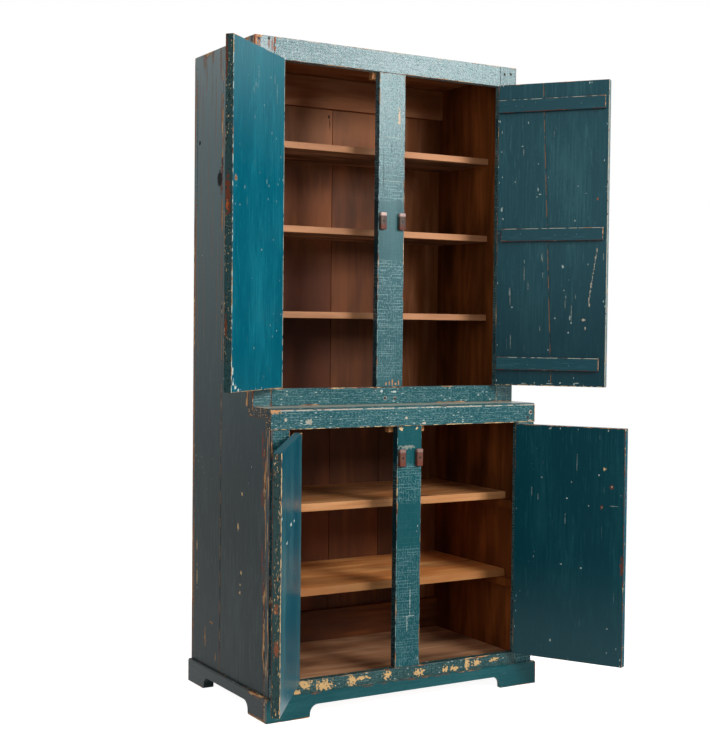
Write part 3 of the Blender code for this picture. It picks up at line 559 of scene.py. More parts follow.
def place_of(node, tenons=NO_TENONS):
    """A board's middle and half sizes in its body's axes, less its tenons, and its middle in the room."""
    stand = stand_of(body_of_node(node))
    back = Matrix.Rotation(-stand.turn, 3, "Z")
    corners = [back @ (vertex.co - stand.origin) for vertex in frame["nodes"][node].data.vertices]
    low = Vector([min(corner[axis] for corner in corners) + tenons[axis] for axis in range(3)])
    high = Vector([max(corner[axis] for corner in corners) - tenons[axis] for axis in range(3)])
    middle = (low + high) / 2
    centre = stand.origin + Matrix.Rotation(stand.turn, 3, "Z") @ middle
    return Place(stand, middle, (high - low) / 2, centre)


# Board materials
GRAIN_ORDERS = {
    "x": (ACROSS, UP, DEPTH),
    "x flat": (ACROSS, DEPTH, UP),
    "y": (DEPTH, UP, ACROSS),
    "z": (UP, ACROSS, DEPTH),
}
SEED_STEP = Vector((3.7, 1.9, 2.3))
PAINT_SEED = 1
PINE_SEED = 40
PAINT_BUMP = 0.0005
PINE_BUMP = 0.0004
PINE_GLOSS = 0.25
MARK_DEPTH = 0.004
MARK_RAG_STRETCH = (140.0, 140.0, 140.0)
MARK_RAG_DETAIL = 3.0
MARK_RIM = (0.65, 1.05)
ROUGH_RIM = 1.3
CRISP_RIM = 0.4
BROKEN_RIM = 2.0
Mark = namedtuple("Mark", "across up wide high")
Scar = namedtuple("Scar", "tint face marks rag strength", defaults=(ROUGH_RIM, 1.0))
Finish = namedtuple("Finish", "color roughness height")


def board_space(brush, place):
    """The place on a board, measured from its middle along its own axes."""
    room = brush.node("ShaderNodeTexCoord", {}).outputs["Object"]
    inputs = {"Vector": room, "Location": place.centre, "Rotation": (0.0, 0.0, place.stand.turn)}
    return brush.node("ShaderNodeMapping", inputs, vector_type="TEXTURE").outputs[0]


def grain_space(brush, local, grain, seed):
    """The same place with the grain along the first axis, moved on so that no two boards are alike."""
    parts = brush.parts(local)
    turned = brush.join(*(parts[axis] for axis in GRAIN_ORDERS[grain]))
    return brush.vector("ADD", turned, SEED_STEP * seed)


def mark_ball(place, face, mark):
    """A mark's middle and its three reaches in the board's own axes."""
    up = mark.up - place.middle.z
    if face == "left":
        middle = (-place.half.x, mark.across - place.middle.y, up)
        return middle, (MARK_DEPTH, mark.wide, mark.high)
    if face == "free edge":
        middle = (place.stand.hand * place.half.x, mark.across, up)
        return middle, (MARK_DEPTH, mark.wide, mark.high)
    depth = -place.half.y if face == "front" else place.half.y
    middle = (mark.across * place.stand.hand - place.middle.x, depth, up)
    return middle, (mark.wide, MARK_DEPTH, mark.high)


def mark_share(brush, local, rag, balls):
    """1 inside any of the marks, 0 outside, with ragged rims."""
    total = 0.0
    for middle, reaches in balls:
        offset = brush.vector("SUBTRACT", local, middle)
        scaled = brush.vector("MULTIPLY", offset, tuple(1.0 / reach for reach in reaches))
        share = brush.fall(brush.add(brush.length(scaled), rag), *MARK_RIM)
        total = brush.math("MAXIMUM", total, share)
    return total


def lay_over(brush, share, under, tint, sink=0.0):
    """A finish with another colour over it where share is 1, dull and a little below the paint."""
    color = brush.mix(share, under.color, tint)
    dulled = brush.blend(share, under.roughness, WORN_ROUGHNESS)
    return Finish(color, dulled, brush.math("SUBTRACT", under.height, brush.times(share, sink)))


def lay_scars(brush, place, local, finish, scars):
    for scar in scars:
        balls = [mark_ball(place, scar.face, mark) for mark in scar.marks]
        noise = brush.noise(local, MARK_RAG_STRETCH, MARK_RAG_DETAIL)
        rag = brush.spread(noise, -scar.rag, scar.rag)
        share = brush.times(mark_share(brush, local, rag, balls), scar.strength)
        finish = lay_over(brush, share, finish, scar.tint, 1.0)
    return finish


def in_from_face(half, reaches):
    """Distances in from a board's face, turned into distances from its middle."""
    return [half - reach for reach in reaches]


def finish_material(made, brush, finish, bump_distance, specular):
    bump = brush.node("ShaderNodeBump", {"Height": finish.height, "Distance": bump_distance})
    inputs = {
        "Base Color": finish.color,
        "Roughness": finish.roughness,
        "Normal": bump.outputs[0],
        "Specular IOR Level": specular,
    }
    shader = brush.node("ShaderNodeBsdfPrincipled", inputs)
    brush.node("ShaderNodeOutputMaterial", {"Surface": shader.outputs[0]})
    return made


def new_material(name):
    made = bpy.data.materials.new(name)
    made.use_nodes = True
    made.node_tree.nodes.clear()
    return made, Brush(made.node_tree)


def group_finish(brush, tree, inputs):
    outputs = use_group(brush, tree, inputs)
    return Finish(outputs["Color"], outputs["Roughness"], outputs["Height"])


def pine_finish(brush, grain, edge, wood):
    inputs = {
        "Grain": grain,
        "Edge": edge,
        "Edge light": wood.rubbed,
        "Light": wood.light,
        "Mid": wood.mid,
        "Dark": wood.dark,
    }
    return group_finish(brush, BARE_PINE, inputs)


def dress(node, material):
    slots = frame["nodes"][node].data.materials
    slots.clear()
    slots.append(material)


# Coats of paint
Coat = namedtuple("Coat", "paint faded cracks dashes specks edge_specks streaks wear gloss")
BRIGHT_COAT = Coat(BRIGHT_TEAL, BRIGHT_TEAL_FADED, 0.0, 0.0, 0.04, 0.1, 0.80, 0.0016, 0.05)
GREYED_COAT = Coat(GREYED_TEAL, GREYED_TEAL_FADED, 0.0, 0.0, 0.02, 0.1, 0.70, 0.0020, 0.12)
DARK_COAT = Coat(DARK_TEAL, DARK_TEAL_FADED, 0.0, 0.0, 0.0, 0.42, 0.70, 0.0012, 0.12)
BATTEN_COAT = Coat(DARK_TEAL, DARK_TEAL_FADED, 0.0, 0.0, -0.1, 0.06, 0.70, 0.0012, 0.12)
DEEP_COAT = Coat(DEEP_TEAL, DEEP_TEAL_FADED, 0.0, 0.0, 0.0, 0.15, 0.70, 0.0012, 0.06)
STILE_COAT = Coat(FRAME_TEAL, FRAME_TEAL_FADED, 0.6, 0.35, 0.0, 0.1, 0.25, 0.0016, 0.45)
LOW_STILE_COAT = Coat(FRAME_TEAL, FRAME_TEAL_FADED, 0.6, 0.35, 0.0, 0.1, 0.25, 0.0020, 0.12)
TOP_RAIL_COAT = Coat(FRAME_TEAL, FRAME_TEAL_FADED, 0.9, 1.0, 0.10, 0.1, 0.25, 0.0014, 0.41)
RAIL_COAT = Coat(FRAME_TEAL, FRAME_TEAL_FADED, 0.08, 0.52, 0.26, 0.12, 0.30, 0.0022, 0.25)
LOW_RAIL_COAT = Coat(DULL_TEAL, DULL_TEAL_FADED, 0.14, 0.30, 0.28, 0.14, 0.30, 0.0030, 0.22)
CORNER_COAT = Coat(FRAME_TEAL, FRAME_TEAL_FADED, 0.5, 0.3, 0.03, 0.1, 0.25, 0.0080, 0.40)
SIDE_COAT = Coat(SLATE_TEAL, SLATE_TEAL_FADED, 0.0, 0.0, -0.06, 0.1, 0.90, 0.0105, 0.06)
ROOF_COAT = Coat(SLATE_TEAL, SLATE_TEAL_FADED, 0.0, 0.0, 0.0, 0.1, 0.60, 0.0060, 0.10)
COUNTER_COAT = Coat(COUNTER_GREY, COUNTER_GREY_FADED, 0.3, 0.5, 0.06, 0.1, 0.50, 0.0070, 0.30)
PLINTH_COAT = Coat(FRAME_TEAL, FRAME_TEAL_FADED, 0.0, 0.04, 0.0, 0.1, 0.35, 0.0022, 0.16)

# Tints over a board, mostly painted light and shade, from none at low to its full share at high, in metres
# along the body's axes
Veil = namedtuple("Veil", "tint axis low high share")
# Painted light and sheen: the sides grow paler towards the top
SIDE_VEILS = [Veil(PALE_SLATE, UP, 0.48, 1.90, 0.74)]
# Painted glare on the top rail, stronger towards the right
TOP_RAIL_VEILS = [Veil(PAINTED_GLARE, ACROSS, -0.36, 0.12, 0.44)]
# Painted glare towards the tops of the stiles
UPPER_STILE_VEILS = [Veil(PAINTED_GLARE, UP, 1.48, 1.86, 0.30)]
CORNER_VEILS = [Veil(PAINTED_GLARE, UP, 1.78, 1.94, 0.30)]
# A painted highlight over the top of the upper left door
BRIGHT_DOOR_VEILS = [Veil(DOOR_HIGHLIGHT, UP, 1.55, 1.92, 0.22)]
# The lower right door grows paler towards the bottom
DEEP_DOOR_VEILS = [Veil(PALER_DEEP_TEAL, UP, 0.45, 0.12, 0.55)]
# Painted shade over the lower part of the battened door
DARK_DOOR_VEILS = [Veil(DEEP_SHADE, UP, 1.45, 1.05, 0.60)]

# Worn lines along an arris of a face. A line breaks off more often the higher its breaks value.
Line = namedtuple("Line", "face axis side tint width breaks")
FACE_SIDES = {"front": -1.0, "inner": 1.0}
LINE_STRETCH = (42.0, 90.0, 90.0)
LINE_DETAIL = 3.0
LINE_FADE = 0.06
LINE_CORE = 0.55
FACE_REACH = (0.0019, 0.0009)
BRIGHT_DOOR_LINES = [
    Line("inner", ACROSS, 1.0, UNDERCOAT, 0.0026, 0.49),
    Line("inner", ACROSS, -1.0, COUNTER_GREY, 0.0050, 0.42),
    Line("inner", UP, -1.0, CREAM_WOOD, 0.0022, 0.44),
]
GREYED_DOOR_LINES = [
    Line("inner", ACROSS, 1.0, CREAM_WOOD, 0.0080, 0.46),
    Line("front", ACROSS, 1.0, RUSSET, 0.0060, 0.42),
]
DEEP_DOOR_LINES = [Line("inner", ACROSS, -1.0, RUSSET, 0.0030, 0.50)]
# Pale along each batten's upper arris; russet along its lower arris, partly worn wood and partly painted
# shade under the batten
BATTEN_LINES = [
    Line("inner", UP, 1.0, COUNTER_GREY, 0.0022, 0.46),
    Line("inner", UP, -1.0, RUSSET, 0.0017, 0.46),
]
FREE_BOARD_LINES = [
    Line("inner", ACROSS, -1.0, COUNTER_GREY, 0.0026, 0.36),
    Line("inner", UP, -1.0, CREAM_WOOD, 0.0030, 0.46),
]
HINGE_BOARD_LINES = [Line("inner", UP, -1.0, CREAM_WOOD, 0.0030, 0.46)]
STILE_LINES = [
    Line("front", ACROSS, -1.0, CRACKLE_PALE, 0.0014, 0.48),
    Line("front", ACROSS, 1.0, CRACKLE_PALE, 0.0014, 0.48),
]
UPPER_CORNER_LINES = [Line("front", ACROSS, -1.0, RUST_ORANGE, 0.0040, 0.42)]
LOWER_CORNER_LINES = [Line("front", ACROSS, -1.0, NEARLY_BLACK, 0.0045, 0.38)]
TOP_RAIL_LINES = [
    Line("front", UP, 1.0, COUNTER_GREY_FADED, 0.0030, 0.50),
    Line("front", ACROSS, -1.0, RUST_ORANGE, 0.0060, 0.40),
    Line("front", ACROSS, 1.0, NEARLY_BLACK, 0.0026, 0.36),
]
PLINTH_LINES = [Line("front", UP, 1.0, COUNTER_GREY, 0.0020, 0.46)]
COUNTER_LINES = [
    Line("front", UP, 1.0, ARRIS_CREAM, 0.0085, 0.39),
    Line("front", UP, -1.0, CREAM_WOOD, 0.0024, 0.50),
]

# Chips, scrapes, knots and old holes, in metres across and up
LOWER_RAIL_CHIPS = [
    Mark(-0.349, 0.074, 0.010, 0.011),
    Mark(-0.320, 0.095, 0.020, 0.013),
    Mark(-0.262, 0.083, 0.027, 0.016),
    Mark(-0.165, 0.089, 0.016, 0.015),
    Mark(-0.130, 0.091, 0.024, 0.005),
    Mark(-0.042, 0.088, 0.013, 0.013),
    Mark(0.070, 0.083, 0.019, 0.010),
    Mark(0.166, 0.081, 0.009, 0.011),
    Mark(0.200, 0.081, 0.013, 0.008),
    Mark(0.248, 0.087, 0.010, 0.015),
    Mark(0.284, 0.089, 0.017, 0.009),
    Mark(0.352, 0.090, 0.014, 0.008),
]
COUNTER_CHIPS = [Mark(-0.430, 0.891, 0.020, 0.009)]
COUNTER_SPOTS = [
    Mark(-0.394, 0.865, 0.005, 0.006),
    Mark(0.012, 0.861, 0.006, 0.005),
    Mark(0.076, 0.844, 0.007, 0.004),
]
COUNTER_RING = [Mark(0.481, 0.868, 0.0068, 0.0088)]
COUNTER_PATCHES = [Mark(-0.320, 0.857, 0.012, 0.009), Mark(0.479, 0.841, 0.008, 0.005)]
UPPER_STILE_SCRAPES = [
    Mark(0.052, 1.776, 0.005, 0.030),
    Mark(0.074, 1.355, 0.003, 0.055),
]
NAIL_STAINS = [
    Mark(-0.429, 1.952, 0.005, 0.024),
    Mark(-0.397, 1.956, 0.004, 0.020),
    Mark(-0.438, 1.968, 0.006, 0.010),
    Mark(-0.386, 1.950, 0.004, 0.020),
]
UPPER_STILE_FLAMES = [
    Mark(0.014, 0.959, 0.0034, 0.0050),
    Mark(0.026, 0.961, 0.0026, 0.0080),
    Mark(0.037, 0.963, 0.0030, 0.0110),
    Mark(0.049, 0.958, 0.0046, 0.0044),
    Mark(0.060, 0.962, 0.0028, 0.0090),
]
UPPER_STILE_CRACKS = [
    Mark(-0.002, 1.610, 0.0011, 0.075),
    Mark(0.026, 1.678, 0.0010, 0.024),
]
UPPER_STILE_BARS = [
    Mark(0.028, 1.714, 0.046, 0.0013),
    Mark(0.030, 1.580, 0.048, 0.0012),
]
UPPER_RAIL_CHIPS = [Mark(-0.003, 0.937, 0.006, 0.005), Mark(0.044, 0.934, 0.010, 0.004)]
UPPER_RAIL_RINGS = [Mark(0.011, 0.915, 0.0066, 0.0058), Mark(0.047, 0.914, 0.0066, 0.0058)]
LOWER_STILE_ARCH = [Mark(0.018, 0.773, 0.024, 0.006)]
LOWER_STILE_PALE = [
    Mark(0.030, 0.260, 0.022, 0.0018),
    Mark(0.035, 0.300, 0.0018, 0.042),
    Mark(0.025, 0.238, 0.0018, 0.022),
]
LOWER_STILE_CHIPS = [
    Mark(-0.004, 0.828, 0.007, 0.005),
    Mark(0.053, 0.829, 0.005, 0.005),
    Mark(-0.016, 0.642, 0.003, 0.018),
]
SIDE_CHIPS = [
    Mark(0.075, 0.636, 0.006, 0.006),
    Mark(0.101, 0.535, 0.005, 0.014),
    Mark(0.078, 0.401, 0.006, 0.006),
    Mark(0.084, 0.365, 0.004, 0.004),
    Mark(0.084, 0.340, 0.006, 0.005),
    Mark(0.400, 0.438, 0.003, 0.020),
    Mark(0.398, 0.340, 0.003, 0.035),
]
SIDE_RED_LINES = [
    Mark(-0.057, 0.640, 0.0030, 0.026),
    Mark(-0.060, 0.468, 0.0030, 0.040),
    Mark(-0.058, 0.790, 0.0024, 0.050),
]
SIDE_FLAMES = [
    Mark(0.070, 1.965, 0.008, 0.030),
    Mark(0.130, 1.968, 0.012, 0.045),
    Mark(0.205, 1.960, 0.010, 0.050),
    Mark(0.242, 1.930, 0.008, 0.060),
    Mark(0.236, 1.784, 0.007, 0.060),
    Mark(0.300, 1.966, 0.010, 0.035),
    Mark(0.360, 1.964, 0.014, 0.045),
    Mark(0.420, 1.856, 0.005, 0.060),
    Mark(0.232, 1.470, 0.007, 0.060),
    Mark(0.230, 1.300, 0.006, 0.090),
    Mark(0.420, 1.420, 0.004, 0.120),
]
SIDE_BROWN_STREAKS = [
    Mark(0.398, 1.840, 0.0040, 0.090),
    Mark(0.372, 1.790, 0.0030, 0.130),
    Mark(0.346, 1.900, 0.0045, 0.060),
    Mark(0.330, 1.600, 0.0030, 0.200),
    Mark(0.305, 1.850, 0.0030, 0.110),
    Mark(0.300, 1.420, 0.0035, 0.160),
    Mark(0.276, 1.780, 0.0040, 0.140),
    Mark(0.385, 1.480, 0.0030, 0.220),
    Mark(0.360, 1.240, 0.0030, 0.180),
    Mark(0.262, 1.250, 0.0030, 0.140),
    Mark(0.410, 1.150, 0.0035, 0.200),
]
SIDE_LOW_SCRAPES = [
    Mark(0.290, 0.212, 0.014, 0.0040),
    Mark(0.334, 0.160, 0.006, 0.0240),
    Mark(0.256, 0.108, 0.004, 0.0130),
]
SIDE_KNOT_FLAMES = [Mark(0.234, 1.572, 0.010, 0.055)]
SIDE_KNOTS = [Mark(0.246, 1.578, 0.020, 0.027), Mark(0.396, 1.703, 0.008, 0.009)]
SIDE_REAR_STREAKS = [
    Mark(0.430, 1.780, 0.005, 0.180),
    Mark(0.427, 1.330, 0.006, 0.240),
    Mark(0.430, 0.820, 0.006, 0.280),
    Mark(0.428, 0.360, 0.007, 0.240),
]
SIDE_REAR_LINES = [Mark(0.414, 1.700, 0.0025, 0.240), Mark(0.432, 1.430, 0.004, 0.050)]
SIDE_SEAM = [Mark(0.2245, 0.450, 0.0026, 0.440)]
BRIGHT_DOOR_RING = [Mark(0.336, 1.526, 0.007, 0.009)]
BRIGHT_DOOR_HOLE = [Mark(0.336, 1.526, 0.004, 0.006)]
BRIGHT_DOOR_SPOTS = [Mark(-0.004, 1.455, 0.005, 0.014)]
BRIGHT_DOOR_RUSSET = [
    Mark(-0.002, 1.480, 0.009, 0.060),
    Mark(-0.008, 1.850, 0.003, 0.060),
    Mark(-0.006, 1.130, 0.004, 0.030),
]
BRIGHT_DOOR_FLECKS = [
    Mark(0.345, 0.980, 0.006, 0.010),
    Mark(0.330, 0.965, 0.008, 0.006),
    Mark(0.350, 1.010, 0.005, 0.012),
    Mark(0.310, 0.958, 0.010, 0.004),
]
BRIGHT_DOOR_DASHES = [
    Mark(0.189, 1.828, 0.0012, 0.018),
    Mark(0.209, 1.795, 0.0010, 0.015),
    Mark(0.222, 1.781, 0.0010, 0.013),
    Mark(0.196, 1.795, 0.0009, 0.011),
    Mark(0.105, 1.834, 0.0014, 0.005),
    Mark(0.076, 1.830, 0.0010, 0.022),
    Mark(0.058, 1.800, 0.0009, 0.030),
    Mark(0.095, 1.676, 0.0014, 0.006),
    Mark(0.128, 1.536, 0.0018, 0.007),
    Mark(0.278, 1.510, 0.0016, 0.006),
    Mark(0.177, 1.559, 0.0013, 0.005),
    Mark(0.113, 1.527, 0.0017, 0.004),
    Mark(0.214, 1.706, 0.0010, 0.007),
]
GREYED_DOOR_CHIPS = [
    Mark(0.349, 0.630, 0.012, 0.005),
    Mark(0.194, 0.593, 0.012, 0.005),
    Mark(0.140, 0.596, 0.010, 0.004),
    Mark(0.261, 0.554, 0.010, 0.004),
]
GREYED_DOOR_ORANGE = [Mark(0.0, 0.395, 0.006, 0.016), Mark(0.002, 0.290, 0.008, 0.022)]
UPPER_RIGHT_SPECKS = [
    Mark(0.100, 1.783, 0.0015, 0.0050),
    Mark(0.082, 1.710, 0.0040, 0.0016),
    Mark(0.134, 1.653, 0.0020, 0.0020),
    Mark(0.134, 1.573, 0.0018, 0.0080),
    Mark(0.140, 1.557, 0.0040, 0.0016),
    Mark(0.131, 1.549, 0.0030, 0.0024),
    Mark(0.253, 1.471, 0.0015, 0.0030),
    Mark(0.148, 1.361, 0.0008, 0.0120),
    Mark(0.153, 1.303, 0.0008, 0.0140),
    Mark(0.093, 1.345, 0.0012, 0.0080),
    Mark(0.045, 1.251, 0.0009, 0.0140),
    Mark(0.055, 1.201, 0.0040, 0.0018),
    Mark(0.217, 1.328, 0.0030, 0.0050),
    Mark(0.228, 1.232, 0.0014, 0.0090),
    Mark(0.242, 1.168, 0.0018, 0.0080),
    Mark(0.246, 1.152, 0.0030, 0.0024),
    Mark(0.194, 1.166, 0.0024, 0.0030),
    Mark(0.237, 1.122, 0.0026, 0.0034),
    Mark(0.261, 1.579, 0.0030, 0.0012),
    Mark(0.287, 1.556, 0.0040, 0.0010),
    Mark(0.015, 1.758, 0.0016, 0.0060),
    Mark(0.017, 1.511, 0.0030, 0.0080),
    Mark(0.021, 1.482, 0.0024, 0.0040),
]
UPPER_RIGHT_CREAM = [
    Mark(0.285, 1.162, 0.0045, 0.0034),
    Mark(0.291, 1.133, 0.0020, 0.0080),
    Mark(0.302, 1.207, 0.0024, 0.0045),
]
UPPER_RIGHT_RUST = [Mark(0.324, 1.537, 0.004, 0.005)]
LOWER_RIGHT_GOLD = [Mark(0.295, 0.709, 0.005, 0.006)]
LOWER_RIGHT_CHIPS = [
    Mark(0.278, 0.690, 0.0026, 0.0030),
    Mark(0.093, 0.672, 0.0020, 0.0026),
    Mark(0.190, 0.663, 0.0016, 0.0026),
    Mark(0.176, 0.612, 0.0026, 0.0020),
    Mark(0.160, 0.407, 0.0050, 0.0022),
    Mark(0.225, 0.401, 0.0026, 0.0024),
    Mark(0.246, 0.594, 0.0026, 0.0028),
    Mark(0.128, 0.166, 0.0026, 0.0034),
    Mark(0.311, 0.223, 0.0030, 0.0014),
]
LOWER_RIGHT_SCRATCHES = [
    Mark(0.081, 0.609, 0.0009, 0.016),
    Mark(0.060, 0.625, 0.0008, 0.020),
    Mark(0.207, 0.723, 0.0009, 0.026),
    Mark(0.171, 0.547, 0.0009, 0.016),
    Mark(0.327, 0.598, 0.014, 0.0016),
]
LOWER_RIGHT_EDGE = [Mark(0.353, 0.413, 0.006, 0.030)]
LOWER_RIGHT_RINGS = [Mark(0.319, 0.656, 0.006, 0.007), Mark(0.289, 0.593, 0.005, 0.008)]
LOWER_RIGHT_HEARTS = [Mark(0.319, 0.656, 0.0026, 0.0030), Mark(0.289, 0.593, 0.0014, 0.0040)]


def marks_along(start, end, count, wide, high):
    """Marks at even steps along a line from start to end, each given as across and up."""
    marks = []
    for step in range(count):
        share = step / (count - 1)
        across = start[0] + (end[0] - start[0]) * share
        up = start[1] + (end[1] - start[1]) * share
        marks.append(Mark(across, up, wide, high))
    return marks


SIDE_SEAM_BITS = marks_along((0.2268, 0.780), (0.2268, 0.100), 9, 0.0026, 0.024)
UPPER_RIGHT_SCRATCH = marks_along((0.324, 1.379), (0.301, 1.225), 10, 0.0013, 0.012)
UPPER_RIGHT_FOOT = [
    Mark(0.096, 0.959, 0.0070, 0.0016),
    Mark(0.131, 0.962, 0.0022, 0.0024),
    Mark(0.178, 0.960, 0.0110, 0.0014),
    Mark(0.214, 0.963, 0.0026, 0.0030),
    Mark(0.266, 0.963, 0.0080, 0.0018),
]
HAIRLINE = 0.0009
UPPER_RIGHT_HAIRLINES = [
    Mark(0.152, 1.356, HAIRLINE, 0.017),
    Mark(0.093, 1.307, HAIRLINE, 0.022),
    Mark(0.048, 1.238, HAIRLINE, 0.034),
    Mark(0.226, 1.212, HAIRLINE, 0.017),
    Mark(0.246, 1.179, HAIRLINE, 0.030),
    Mark(0.259, 1.234, HAIRLINE, 0.009),
    Mark(0.146, 1.135, HAIRLINE, 0.017),
    Mark(0.051, 1.087, HAIRLINE, 0.027),
    Mark(0.345, 1.354, HAIRLINE, 0.015),
    Mark(0.106, 1.270, HAIRLINE, 0.015),
    Mark(0.183, 1.744, HAIRLINE, 0.010),
    Mark(0.086, 1.693, HAIRLINE, 0.015),
]
UPPER_RIGHT_SCARS = [
    Scar(COUNTER_GREY, "inner", UPPER_RIGHT_HAIRLINES, ROUGH_RIM, 0.6),
    Scar(UNDERCOAT, "inner", UPPER_RIGHT_SPECKS + UPPER_RIGHT_FOOT, ROUGH_RIM, 0.65),
    Scar(COUNTER_GREY_FADED, "inner", UPPER_RIGHT_CREAM + UPPER_RIGHT_SCRATCH, BROKEN_RIM, 0.75),
    Scar(RUST_ORANGE, "inner", UPPER_RIGHT_RUST, ROUGH_RIM, 0.8),
]

# Faces that were never painted: past a plane across an axis, in metres in the room
Zone = namedtuple("Zone", "axis sign plane")
ZONE_BLUR = 0.0004
FRAME_BACKS = {"upper": 0.0380, "lower": -0.0800}
SIDE_INNER = {"left_side": -0.4205, "right_side": 0.4750}
COUNTER_INSIDE = 0.0385
COUNTER_UNDERSIDE = 0.8700
ROOF_UNDERSIDE = 1.9535
UPPER_BACK = [Zone(DEPTH, 1.0, FRAME_BACKS["upper"])]
LOWER_BACK = [Zone(DEPTH, 1.0, FRAME_BACKS["lower"])]
COUNTER_BARE = [Zone(DEPTH, 1.0, COUNTER_INSIDE), Zone(UP, -1.0, COUNTER_UNDERSIDE)]

# Kinds of bare wood, with how far their front edges are painted pale, partly rubbed wear and partly painted
# light
Wood = namedtuple("Wood", "light mid dark rubbed")
BACK_WOOD = Wood(PINE_LIGHT, PINE_MID, PINE_DARK, 0.0)
CORNER_WOOD = Wood(PINE_PALE, PINE_LIGHT, PINE_MID, 0.0)
WALL_WOOD = Wood(WALL_LIGHT, WALL_MID, PINE_DARK, 0.0)
RAIL_WOOD = Wood(PINE_PALE, PINE_LIGHT, PINE_MID, 0.2)
FLOOR_WOOD = Wood(FLOOR_WOOD_LIGHT, FLOOR_WOOD_MID, PINE_DARK, 0.0)
UPPER_SHELF_WOOD = Wood(SHELF_FRONT, PINE_MID, PINE_DARK, 0.9)
LOWER_SHELF_WOOD = Wood(SHELF_LIGHT, SHELF_MID, SHELF_DARK, 0.5)
AMBER_SHELF_WOOD = Wood(AMBER_LIGHT, AMBER_MID, AMBER_DARK, 0.2)
STOP_WOOD = Wood(SHELF_LIGHT, SHELF_MID, SHELF_DARK, 0.4)
INSIDE_WOODS = {"roof_board": CORNER_WOOD, "right_side": WALL_WOOD}

# Painted boards
PAINTED_FIELDS = "node grain coat zones scars veils lines tenons"
Painted = namedtuple("Painted", PAINTED_FIELDS, defaults=((), (), (), (), NO_TENONS))
SIDE_SHADE_REACH = 0.0015
SIDE_SHADE_SHARE = 0.8


def side_shade(node):
    """Painted shade over the left side of a stile, which stands in shadow."""
    place = place_of(node, STILE_TENONS)
    left = place.middle.x - place.half.x
    return Veil(DEEP_SHADE, ACROSS, left + SIDE_SHADE_REACH, left, SIDE_SHADE_SHARE)


NAIL_SCARS = [Scar(RUST_ORANGE, "front", NAIL_STAINS, ROUGH_RIM, 0.6)]
UPPER_STILE_SCARS = [
    Scar(UNDERCOAT, "front", UPPER_STILE_BARS, CRISP_RIM, 0.7),
    Scar(RIM_TEAL, "front", UPPER_STILE_CRACKS, CRISP_RIM, 0.8),
    Scar(SCRAPE_CREAM, "front", UPPER_STILE_SCRAPES, ROUGH_RIM, 0.85),
    Scar(FLAME_TAN, "front", UPPER_STILE_FLAMES, CRISP_RIM, 0.75),
]
UPPER_RAIL_SCARS = [
    Scar(UNDERCOAT, "front", UPPER_RAIL_CHIPS),
    Scar(ARRIS_CREAM, "front", UPPER_RAIL_RINGS, CRISP_RIM, 0.85),
]
LOWER_STILE_SCARS = [
    Scar(UNDERCOAT, "front", LOWER_STILE_PALE, ROUGH_RIM, 0.6),
    Scar(COUNTER_GREY, "front", LOWER_STILE_ARCH, BROKEN_RIM, 0.5),
    Scar(CREAM_WOOD, "front", LOWER_STILE_CHIPS),
]
LOWER_RAIL_SCARS = [Scar(CHIP_GOLD, "front", LOWER_RAIL_CHIPS, BROKEN_RIM)]
COUNTER_RAIL_SCARS = [
    Scar(WORN_TAN, "front", COUNTER_CHIPS, BROKEN_RIM),
    Scar(ARRIS_CREAM, "front", COUNTER_SPOTS, ROUGH_RIM, 0.85),
    Scar(ARRIS_CREAM, "front", COUNTER_RING, CRISP_RIM, 0.75),
    Scar(COUNTER_GREY_FADED, "front", COUNTER_PATCHES, ROUGH_RIM, 0.6),
]
LEFT_SIDE_SCARS = [
    Scar(CREAM_WOOD, "left", SIDE_CHIPS),
    Scar(BRICK_RED, "left", SIDE_RED_LINES),
    Scar(NEARLY_BLACK, "left", SIDE_SEAM, CRISP_RIM, 0.8),
    Scar(WORN_TAN, "left", SIDE_SEAM_BITS, ROUGH_RIM, 0.4),
    Scar(WORN_TAN, "left", SIDE_LOW_SCRAPES, BROKEN_RIM, 0.6),
    Scar(STREAK_BROWN, "left", SIDE_BROWN_STREAKS, ROUGH_RIM, 0.48),
    Scar(STREAK_BROWN, "left", SIDE_FLAMES, ROUGH_RIM, 0.6),
    Scar(REAR_TAN, "left", SIDE_REAR_STREAKS, ROUGH_RIM, 0.8),
    Scar(NEARLY_BLACK, "left", SIDE_REAR_LINES, ROUGH_RIM, 0.7),
    Scar(RUSSET, "left", SIDE_KNOT_FLAMES, ROUGH_RIM, 0.8),
    Scar(NEARLY_BLACK, "left", SIDE_KNOTS, CRISP_RIM),
]
BRIGHT_DOOR_SCARS = [
    Scar(WORN_TAN, "inner", BRIGHT_DOOR_RING, ROUGH_RIM, 0.6),
    Scar(UNDERCOAT, "inner", BRIGHT_DOOR_DASHES, ROUGH_RIM, 0.6),
    Scar(RUSSET, "inner", BRIGHT_DOOR_HOLE, CRISP_RIM),
    Scar(RUSSET, "free edge", BRIGHT_DOOR_RUSSET, ROUGH_RIM, 0.85),
    Scar(RUST_ORANGE, "free edge", BRIGHT_DOOR_SPOTS),
    Scar(UNDERCOAT, "inner", BRIGHT_DOOR_FLECKS),
]
GREYED_DOOR_SCARS = [
    Scar(UNDERCOAT, "inner", GREYED_DOOR_CHIPS),
    Scar(RUST_ORANGE, "free edge", GREYED_DOOR_ORANGE, ROUGH_RIM, 0.6),
]
DEEP_DOOR_SCARS = [
    Scar(CREAM_WOOD, "inner", LOWER_RIGHT_GOLD),
    Scar(UNDERCOAT, "inner", LOWER_RIGHT_CHIPS, ROUGH_RIM, 0.75),
    Scar(UNDERCOAT, "inner", LOWER_RIGHT_SCRATCHES, ROUGH_RIM, 0.45),
    Scar(RUSSET, "inner", LOWER_RIGHT_EDGE + LOWER_RIGHT_RINGS, ROUGH_RIM, 0.7),
    Scar(COUNTER_GREY_FADED, "inner", LOWER_RIGHT_HEARTS, ROUGH_RIM, 0.8),
]
LEFT_BARE = [Zone(ACROSS, 1.0, SIDE_INNER["left_side"])]
RIGHT_BARE = [Zone(ACROSS, -1.0, SIDE_INNER["right_side"])]
ROOF_BARE = [Zone(UP, -1.0, ROOF_UNDERSIDE)]
